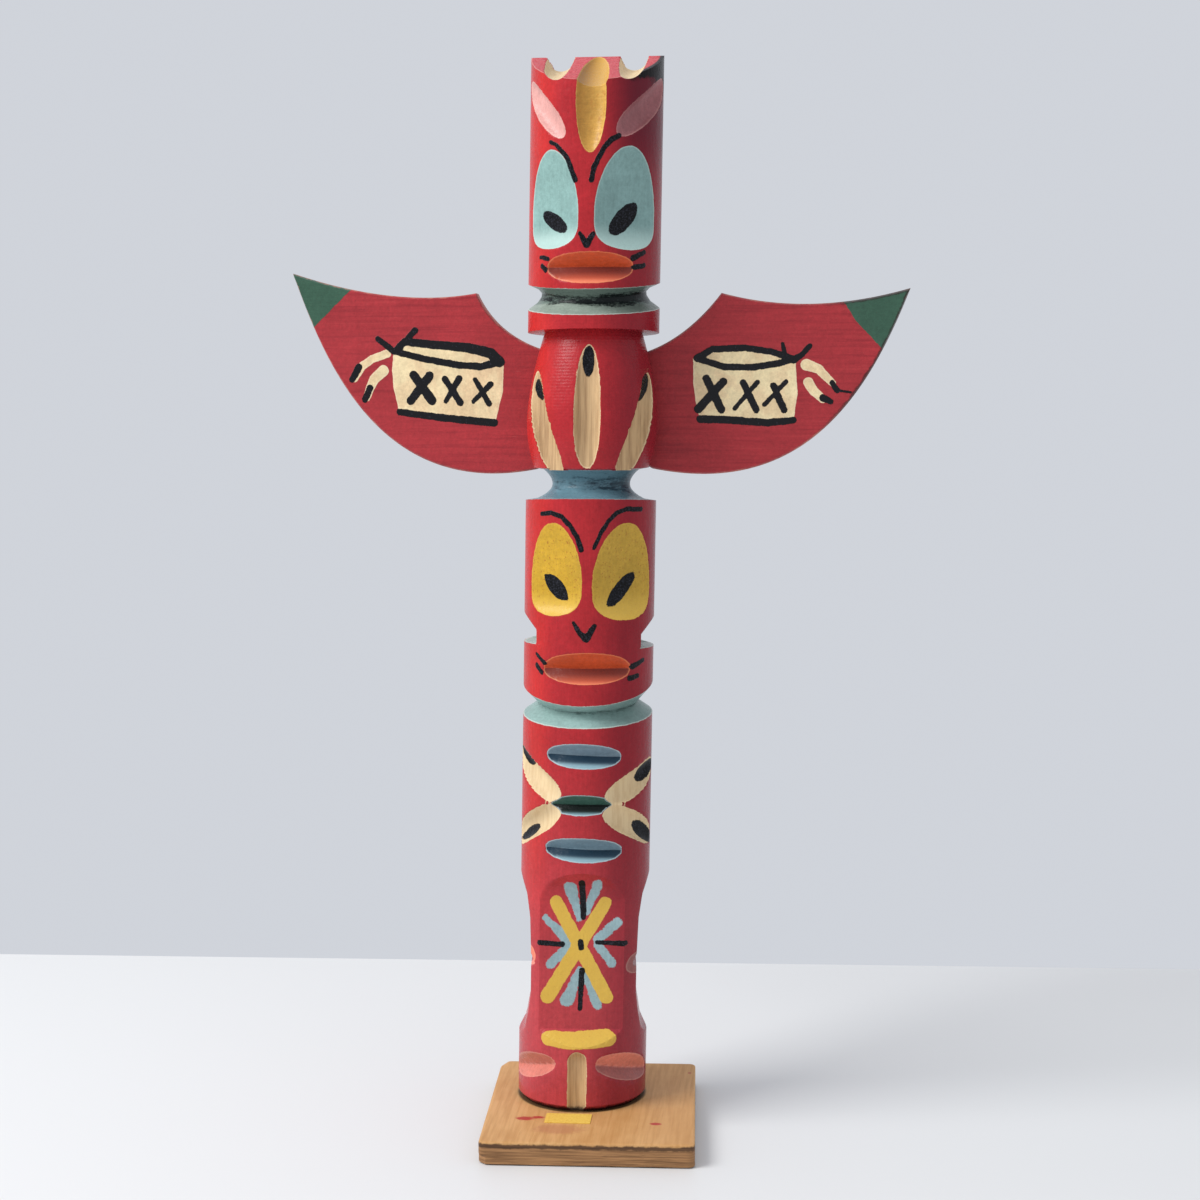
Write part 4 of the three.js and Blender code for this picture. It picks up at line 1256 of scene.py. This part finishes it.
# %% Node group: bare wood
bare_wood, w, given, made = new_group(
    "bare_wood",
    {"Light": "color", "Dark": "color", "Streaked Point": "vector"},
    {"Color": "color", "Height": "float"},
)
grain = w.noise(given["Streaked Point"], 1.0, 4.0, 0.62)
pores = w.band(w.noise(given["Streaked Point"], 3.1, 3.0, 0.7), 0.60, 0.72)
dark = w.math("ADD", w.band(grain, 0.34, 0.72), w.times(pores, 0.3))
w.plug(made["Color"], w.mix(w.math("MINIMUM", dark, 1.0), given["Light"], given["Dark"]))
w.plug(made["Height"], w.times(w.math("MAXIMUM", grain, pores), -0.03))


# %% [markdown]
# ## Coats
# A coat is laid over the coats before it. Its edge follows a stored distance, it stands up by a few
# hundredths of a millimetre, and where the next brush stopped short a pale or dark line shows.


# %% Laying one coat over another
def lay(w, under, point, distance, over, wobble=0.25, softness=0.09, rim=None, thick=0.05):
    """under and over are (colour, roughness, height). rim is (colour, strength) of the edge line."""
    edge = w.group(brush_edge, Distance=distance, Point=point, Wobble=wobble, Softness=softness)
    mask = edge["Mask"]
    color = over[0]
    if rim:
        color = w.mix(w.times(edge["Rim"], rim[1]), color, rim[0])
    raised = w.math("ADD", over[2], thick)
    rough = w.blend(mask, under[1], over[1])
    return (w.mix(mask, under[0], color), rough, w.blend(mask, under[2], raised))


def finish_material(w, coats, specular):
    """Joins the last colour, roughness and height to the shader; heights are in millimetres."""
    shader = w.tree.nodes["Principled BSDF"]
    w.plug(shader.inputs["Base Color"], coats[0])
    w.plug(shader.inputs["Roughness"], coats[1])
    bump = w.tree.nodes.new("ShaderNodeBump")
    bump.inputs["Strength"].default_value = 1.0
    bump.inputs["Distance"].default_value = MM
    w.plug(bump.inputs["Height"], coats[2])
    w.plug(shader.inputs["Normal"], bump.outputs["Normal"])
    shader.inputs["Specular IOR Level"].default_value = specular
    print(f"{w.tree.name}: {len(w.tree.nodes)} nodes")


def new_material(name):
    """An empty material and its wires."""
    material = bpy.data.materials.new(name)
    material.use_nodes = True
    return material, Wires(material.node_tree)


# %% [markdown]
# ## The pole's colours
# The real pole was painted red first, and every other colour was brushed on over it, so its coats
# are laid here in that order. A picture could be wrapped round the pole instead, but it would blur
# close up; distances and noise stay sharp at any size. The red is darker on the right and warmer on
# the left: part of the light from the side is painted in.

# %% Pole: points, heights and a coat of old enamel
enamel_material, w = new_material("red_enamel")
point = w.millimetres()
upright = w.scaled(point, 1.6, 1.6, 0.10)
level = w.scaled(point, 0.16, 0.16, 2.2)


def enamel(color, wear=0.35, streaked=upright):
    """Old gloss of one colour, as a coat."""
    result = w.group(old_enamel, Color=color, Point=point, Streaked_Point=streaked, Wear=wear)
    return (result["Color"], result["Roughness"], result["Height"])


def darker(coat, share, color):
    """A coat whose colour goes over to another by a share."""
    return (w.mix(share, coat[0], color), coat[1], coat[2])


height = w.part(point, 2)
axis = w.math("MULTIPLY_ADD", height, LEAN, AXIS_X - LEAN * BOARD_TOP)
off_axis = w.math("SUBTRACT", w.part(point, 0), axis)
on_right = w.band(off_axis, -7.0, 7.0)
below_crease, below_eye = w.field("below_crease"), w.field("below_eye")

# %% Pole: the red ground
lower_red = w.mix(w.band(height, 125.0, 30.0), rgb(172, 40, 46), rgb(182, 64, 70))
warm = w.times(w.band(off_axis, -7.0, -15.0), w.band(height, 50.0, 90.0))
coats = enamel(w.mix(w.times(warm, 0.5), lower_red, rgb(206, 46, 36)))
shaded = w.times(w.band(off_axis, 1.0, 13.0), w.blend(w.band(height, 268.0, 290.0), 0.5, 1.0))
coats = darker(coats, shaded, rgb(104, 22, 38))
on_barrel = w.times(w.band(height, 190.0, 196.0), w.band(height, 245.0, 243.0))
lathe_rings = w.times(w.math("SINE", w.times(height, 7.0)), 0.008, on_barrel)
coats = (coats[0], coats[1], w.math("ADD", coats[2], lathe_rings))

# %% Pole: the crown, painted shade at its right rim, and the raw wood
end_grain = w.field("end_grain")
chalk = w.band(w.noise(point, 1.3, 4.0, 0.8), 0.42, 0.60)
crown_pink = darker(enamel(rgb(206, 82, 88), 1.0), chalk, rgb(184, 46, 56))
coats = lay(w, coats, point, end_grain, crown_pink, 0.5, 0.2, (rgb(236, 170, 160), 0.6))
# Painted shade: the crown's rim right of the forelock goes nearly black, as the shade side of the head.
near_rim = w.math("MULTIPLY_ADD", off_axis, 0.42, w.ragged(end_grain, point, 0.6, 1.8))
low_edge = w.band(w.ragged(height, point, 0.35, 6.0), 300.5, 303.5)
behind = w.ragged(w.math("SUBTRACT", w.part(point, 1), AXIS_Y), point, 0.35, 8.0)
crown_rim_shade = w.times(w.band(near_rim, 3.4, 4.4), w.band(off_axis, 8.5, 11.0), low_edge)
crown_rim_shade = w.times(crown_rim_shade, w.band(behind, 4.0, -1.0), w.band(end_grain, 1.5, 0.8))
coats = darker(coats, crown_rim_shade, rgb(12, 6, 9))
on_breast = w.times(w.band(height, 180.0, 190.0), w.band(height, 260.0, 250.0))
on_breast = w.math("MAXIMUM", on_breast, w.band(height, 50.0, 40.0))
wood = w.group(bare_wood, Light=w.mix(on_breast, rgb(226, 202, 160), rgb(208, 174, 130)),
               Dark=w.mix(on_breast, rgb(212, 184, 142), rgb(168, 134, 98)),
               Streaked_Point=w.scaled(point, 1.1, 0.25, 0.05))
raw = (wood["Color"], 0.5, wood["Height"])
coats = lay(w, coats, point, w.field("cream"), raw, 0.5, 0.12, (rgb(236, 212, 170), 0.7))

# %% Pole: forelock and eyes
# Painted shade and light: the forelock's left wall is a darker gold and its right wall a lighter one; where
# it runs over the crown its left side is darkened further.
gold = enamel(w.mix(on_right, rgb(184, 132, 62), rgb(212, 166, 84)), 0.1, level)
gold = darker(gold, w.band(w.noise(point, 0.7, 4.0, 0.7), 0.52, 0.66), rgb(188, 136, 66))
on_crown = w.times(w.band(end_grain, -0.3, 0.3), 0.75)
gold = darker(gold, on_crown, w.mix(on_right, rgb(150, 100, 40), rgb(216, 170, 84)))
coats = lay(w, coats, point, w.field("gold"), gold, 0.3, 0.1, (rgb(226, 188, 104), 0.45))
# Painted highlight: mint and yellow grow paler from the middle of each eye down to its lower lip; the yellow
# star and bar, lower down, take the paler yellow. Painted shade: both are a little darker on the right.
lip = w.band(below_eye, 2.0, 8.5)
mint = enamel(w.mix(on_right, rgb(136, 170, 164), rgb(130, 162, 158)), 0.15)
mint = darker(mint, w.times(lip, 0.7), rgb(186, 212, 204))
coats = lay(w, coats, point, w.field("mint"), mint, 0.22, 0.08, (rgb(196, 214, 204), 0.5))
flecks = w.band(w.noise(point, 1.5, 4.0, 0.75), 0.58, 0.66)
yellow = enamel(w.mix(on_right, rgb(198, 156, 48), rgb(190, 152, 60)), 0.1)
yellow = darker(yellow, w.times(flecks, 0.75), rgb(142, 58, 34))
yellow = darker(yellow, w.times(lip, 0.7), rgb(226, 186, 84))

# %% Pole: mouths, lozenges and the pink gouges
# Painted shadow: a dark band just under the crease of each mouth and lozenge. Painted highlight: a pale band
# along their lower edges.
crease_shadow = w.times(w.band(below_crease, -0.1, 0.2), w.band(below_crease, 3.9, 1.2))
low = w.band(below_crease, -0.3, 0.5)
orange = darker(enamel(rgb(200, 80, 44), 0.15, level), low, rgb(190, 86, 62))
orange = darker(orange, w.times(crease_shadow, 0.9), rgb(112, 48, 42))
orange = darker(orange, w.band(below_crease, 3.0, 4.6), rgb(236, 132, 98))
coats = lay(w, coats, point, w.field("orange"), orange, 0.3, 0.1, (rgb(232, 140, 96), 0.6))
LOZENGE_FROM = (0, 90, 104)
slate_color = w.by_height(point, LOZENGE_FROM, (rgb(112, 136, 148), rgb(60, 92, 80), rgb(116, 136, 148)))
slate_dark = w.by_height(point, LOZENGE_FROM, (rgb(30, 54, 70), rgb(12, 20, 17), rgb(30, 54, 70)))
slate = darker(enamel(slate_color, 0.15, level), crease_shadow, slate_dark)
slate = darker(slate, w.band(below_crease, 1.7, 3.0), rgb(140, 172, 182))
coats = lay(w, coats, point, w.field("slate"), slate, 0.3, 0.1, (rgb(190, 206, 208), 0.7))
# Painted shade: the right crown gouge, the right hip and the right toe's lower face are darker than their
# left twins.
crown_wall = w.mix(on_right, rgb(216, 160, 152), rgb(158, 100, 102))
toe_top = w.mix(on_right, rgb(196, 118, 102), rgb(222, 134, 116))
toe_foot = w.mix(on_right, rgb(216, 126, 110), rgb(160, 94, 88))
toes = w.mix(low, toe_top, toe_foot)
hips = w.mix(on_right, rgb(238, 132, 106), rgb(150, 92, 88))
hip_or_crown = w.mix(w.band(height, 199.0, 201.0), hips, crown_wall)
pink = enamel(w.mix(w.band(height, 35.0, 37.0), toes, hip_or_crown), 0.4)
coats = lay(w, coats, point, w.field("pink"), pink, 0.35, 0.12, (rgb(240, 184, 170), 0.22))

# %% Pole: the collars, with dirt and painted shade in them
COLLAR_FROM = (0, 135, 180, 225)
collar_color = w.by_height(point, COLLAR_FROM, (
    rgb(144, 172, 166), rgb(158, 178, 168), rgb(104, 138, 150), rgb(142, 154, 142)))
dirt_and_shade_color = w.by_height(point, COLLAR_FROM, (
    rgb(92, 112, 108), rgb(104, 118, 110), rgb(46, 66, 76), rgb(18, 24, 24)))
# Painted shade: each collar goes over to its dark colour towards the right.
shadow = w.times(w.band(off_axis, 0.0, 14.0), 0.5)
collar = darker(enamel(collar_color, 0.15, level), shadow, dirt_and_shade_color)
# The deepest parts of the grooves darken in patches, further towards the right: dirt, and painted shade in
# the grooves.
deep = w.by_height(point, COLLAR_FROM, [grey(share) for share in (0.42, 1, 0.70, 0.30)])
deep_share = w.math("DIVIDE", w.field("depth"), w.times(deep, 10.0))
patchy = w.ragged(deep_share, w.scaled(point, 0.22, 0.22, 1.0), 1.0, 1.3)
patchy = w.math("MULTIPLY_ADD", on_right, 0.2, patchy)
neck_face = w.times(w.band(height, BOARD_TOP + 233.6, BOARD_TOP + 234.4), w.band(height, 230.0, 231.0))
collar = darker(collar, w.times(neck_face, 0.75), rgb(84, 102, 94))
dirt_and_shade = w.band(w.ragged(patchy, point, 1.3, 0.45, detail=3.0), 1.06, 1.4)
collar = darker(collar, dirt_and_shade, dirt_and_shade_color)
coats = lay(w, coats, point, w.field("collar"), collar, 0.35, 0.12, (rgb(216, 222, 212), 0.7))

# %% Pole: the star, the black lines with painted glints, and painted shadow round the foot
sky = enamel(rgb(146, 172, 176), 0.3, upright)
coats = lay(w, coats, point, w.field("sky"), sky, 0.9, 0.14)
coats = lay(w, coats, point, w.field("yellow"), yellow, 0.45, 0.1, (rgb(222, 180, 84), 0.3))
# Painted highlight: the black is lightened in small spots, as glints on the gloss.
glints = w.band(w.noise(point, 2.2, 4.0, 0.8), 0.50, 0.62)
black = darker(enamel(rgb(4, 4, 6), 0.0), w.times(glints, 0.5), rgb(66, 68, 80))
coats = lay(w, coats, point, w.field("ink"), black, 0.42, 0.09, None, 0.08)
# Painted shadow: the foot of the pole goes nearly black, as the shadow in the gap above the board.
contact_shadow = w.band(w.ragged(height, point, 0.5, 3.0), BOARD_TOP + 1.9, BOARD_TOP + 0.7)
coats = darker(coats, w.times(contact_shadow, 0.92), rgb(22, 14, 14))
finish_material(w, coats, 0.18)

# %% [markdown]
# ## The wings' colours
# The wings are a sawn board, so the brush left level streaks in the red and the edges are rubbed
# down to a dull pink. The drums, feathers and green tips are coats again, from the stored distances.

# %% Material of the wings
wing_material, w = new_material("wing_paint")
point = w.millimetres()
level = w.scaled(point, 0.05, 0.3, 1.1)
coats = enamel(rgb(166, 46, 52), 0.6, level)
boards = w.noise(w.scaled(point, 0.03, 0.3, 0.8), 1.0, 4.0, 0.65)
coats = darker(coats, w.times(w.band(boards, 0.5, 0.34), 0.4), rgb(128, 28, 38))
coats = darker(coats, w.times(w.band(boards, 0.55, 0.70), 0.25), rgb(196, 70, 70))
coats = (coats[0], w.math("ADD", coats[1], 0.2), coats[2])
green = enamel(rgb(58, 92, 74), 0.25, level)
coats = lay(w, coats, point, w.field("tips"), green, 0.4, 0.12)
worn = w.ragged(w.field("edge"), point, 0.5, 1.6, detail=3.0)
coats = darker(coats, w.times(w.band(worn, 0.4, 0.0), 0.6), rgb(196, 132, 112))
# Painted shade: near the right wing's end its edges go dark instead of pale.
right_end_shade = w.band(w.part(point, 0), 62.0, 76.0)
coats = darker(coats, w.times(w.band(worn, 1.1, 0.5), right_end_shade, 0.8), rgb(44, 26, 24))
yellowed = w.band(w.noise(point, 0.16, 2.0), 0.42, 0.6)
cream = enamel(w.mix(yellowed, rgb(238, 218, 172), rgb(230, 204, 160)), 0.0, w.scaled(point, 0.5, 0.5, 0.2))
coats = lay(w, coats, point, w.field("cream"), cream, 0.3, 0.1, (rgb(240, 222, 190), 0.5))
spots = w.noise(point, 1.3, 3.0, 0.7)
black = darker(enamel(rgb(8, 8, 13), 0.0), w.band(spots, 0.60, 0.70), rgb(48, 48, 60))
coats = lay(w, coats, point, w.field("ink"), black, 0.4, 0.09, None, 0.1)
finish_material(w, coats, 0.3)

# %% [markdown]
# ## The foot board's and the label's colours
# The board is clear-stained wood: fine grain runs back over its top, and its edge shows darker layers
# under a ragged rim. A few drops of red, a rubbed patch and a ring of painted shadow round the pole
# are masks.

# %% Material of the foot board
board_material, w = new_material("stained_board")
point = w.millimetres()
wood = w.group(bare_wood, Light=rgb(216, 168, 112), Dark=rgb(196, 146, 90),
               Streaked_Point=w.scaled(point, 0.9, 0.05, 1.0))
plies = w.group(bare_wood, Light=rgb(174, 128, 84), Dark=rgb(112, 78, 48),
                Streaked_Point=w.scaled(point, 0.06, 0.06, 1.5))
ragged = w.ragged(w.part(point, 2), point, 0.4, 1.4)
on_top = w.band(ragged, BOARD_TOP - 0.9, BOARD_TOP - 0.35)
stain = w.band(w.noise(point, 0.05, 3.0, 0.6), 0.35, 0.7)
top_color = w.mix(w.times(stain, 0.45), wood["Color"], rgb(188, 134, 76))
under_edge = w.times(w.band(ragged, BOARD_TOP - 2.0, BOARD_TOP - 1.5), 0.75)
front_color = w.mix(under_edge, plies["Color"], rgb(52, 32, 22))
color = w.mix(on_top, front_color, top_color)
height = w.blend(on_top, w.times(plies["Height"], 3.0), wood["Height"])


def drop(at, half_x, half_y):
    """A mask: one inside an oval round that place on the board's top, ragged at its edge."""
    soft = 0.35
    away = w.node("VectorMath", point, (*at, 0), operation="SUBTRACT")
    away = w.node("VectorMath", away, (1 / half_x, 1 / half_y, 0), operation="MULTIPLY")
    reach = w.node("VectorMath", away, operation="LENGTH")
    reach = w.ragged(reach, point, 0.9, 1.2)
    return w.times(w.band(reach, 1.0 + soft, 1.0 - soft), on_top)


rubbed = drop((AXIS_X - 3.5, AXIS_Y - 33.0), 6.5, 3.6)
color = w.mix(w.times(rubbed, 0.6), color, rgb(184, 124, 88))
RED_DROPS = [(-14.0, -25.2, 2.6, 1.5), (-10.2, -24.0, 1.7, 1.0), (24.0, -26.2, 1.6, 1.0),
             (31.4, 19.2, 0.6, 0.5)]
for drop_x, drop_y, half_x, half_y in RED_DROPS:
    color = w.mix(drop((AXIS_X + drop_x, AXIS_Y + drop_y), half_x, half_y), color, rgb(178, 66, 56))
ground = w.node("VectorMath", point, (AXIS_X, AXIS_Y, 0), operation="SUBTRACT")
ground = w.node("VectorMath", w.scaled(ground, 1, 1, 0), operation="LENGTH")
# Painted shadow: a dark ring on the board's top round the pole's foot.
contact_shadow = w.times(w.band(ground, RADIUS + 0.6, RADIUS - 0.4), on_top)
color = w.mix(w.times(contact_shadow, 0.85), color, rgb(40, 22, 16))
finish_material(w, (color, 0.55, height), 0.3)

# %% Material of the label
paper_material, w = new_material("label_paper")
point = w.millimetres()
fibres = w.noise(point, 1.5, 4.0, 0.7)
color = w.mix(w.band(fibres, 0.4, 0.7), rgb(238, 200, 92), rgb(222, 178, 70))
finish_material(w, (color, 0.6, w.times(fibres, 0.03)), 0.4)

# %% [markdown]
# ## Each piece takes its solid's place
# The pole, the wings, the foot board and the label are glued together and nothing turns, so all four
# ride on the root. They could be joined into one mesh, but kept apart a wing can be repainted or the
# label taken off by itself.

# %% Give each piece its material, its solid and its place
for piece, node, slot, material in (
    (pole, "carved_pole", "red_enamel", enamel_material),
    (wings, "wing_board", "wing_paint", wing_material),
    (foot, "foot_board", "stained_board", board_material),
    (label, "blank_label", "label_paper", paper_material),
):
    piece.data.materials.append(material)
    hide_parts(node)
    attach(piece, "root")
    print(f"{piece.name} stands in for {node}, painted with {slot}")


# %% [markdown]
# ## Where it stands, the light and the camera
# A plain pale table top that ends a hand's breadth behind the pole, one large soft lamp from the
# upper left, and pale grey light from the room all round. The camera stands rather more than half a
# metre off and a little above. A bigger lamp would be softer, but the gouges would lose their shadows.

# %% Table, lamp and room light
def sheet(name, corners, height):
    """A flat sheet through the given corners."""
    mesh = bpy.data.meshes.new(name)
    mesh.from_pydata([(px * MM, py * MM, height * MM) for px, py in corners], [], [(0, 1, 2, 3)])
    mesh.update()
    thing = bpy.data.objects.new(name, mesh)
    bpy.context.scene.collection.objects.link(thing)
    return thing


def plain(name, color, rough):
    """A plain material for the table."""
    material = bpy.data.materials.new(name)
    material.use_nodes = True
    shader = material.node_tree.nodes["Principled BSDF"]
    shader.inputs["Base Color"].default_value = color
    shader.inputs["Roughness"].default_value = rough
    return material


table = sheet("table_top", [(-1500, -1200), (1500, -1200), (1500, 250), (-1500, 100)], -0.4)
table.data.materials.append(plain("table_white", rgb(229, 229, 228), 0.5))
table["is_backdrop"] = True


def lamp(name, azimuth, elevation, away, size, power):
    """A square soft lamp aimed at the middle of the pole. Azimuth 0 is in front, + to the right."""
    data = bpy.data.lights.new(name, "AREA")
    data.size = size
    data.energy = power
    thing = bpy.data.objects.new(name, data)
    a, e = math.radians(azimuth), math.radians(elevation)
    heading = np.array([math.sin(a) * math.cos(e), -math.cos(a) * math.cos(e), math.sin(e)])
    thing.location = heading * away + np.array([0, 0, 0.15])
    thing.rotation_euler = (math.pi / 2 - e, 0, a)
    bpy.context.scene.collection.objects.link(thing)


lamp("Window", azimuth=-60, elevation=42, away=1.2, size=0.6, power=11.5)
world = bpy.data.worlds.new("Room")
bpy.context.scene.world = world
world.use_nodes = True
world.node_tree.nodes["Background"].inputs["Color"].default_value = (0.63, 0.655, 0.705, 1)
world.node_tree.nodes["Background"].inputs["Strength"].default_value = 1.0

# %% Camera
LOOKS_DOWN, LOOKS_LEFT = 5.34, 5.5
camera_data = bpy.data.cameras.new("Camera")
camera_data.lens = 60
camera_data.sensor_width = 36
camera = bpy.data.objects.new("Camera", camera_data)
camera.location = (0.0574, -0.5737, 0.20925)
camera.rotation_euler = (math.radians(90 - LOOKS_DOWN), 0, math.radians(LOOKS_LEFT))
bpy.context.scene.collection.objects.link(camera)
bpy.context.scene.camera = camera
bpy.context.scene.view_settings.view_transform = "Standard"

# %% [markdown]
# ## The sizes
# The box of the solids and the box of the painted pieces are written down side by side. Paint and
# the uneven saw cuts add less than a millimetre, so the two have to agree that closely.

# %% Write the sizes down and finish
low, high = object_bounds()
{"cad": [list(cad_low), list(cad_high)], "visual": [list(low), list(high)]}
print("solids' box", list(cad_low), list(cad_high))
print("painted model's box", list(low), list(high))
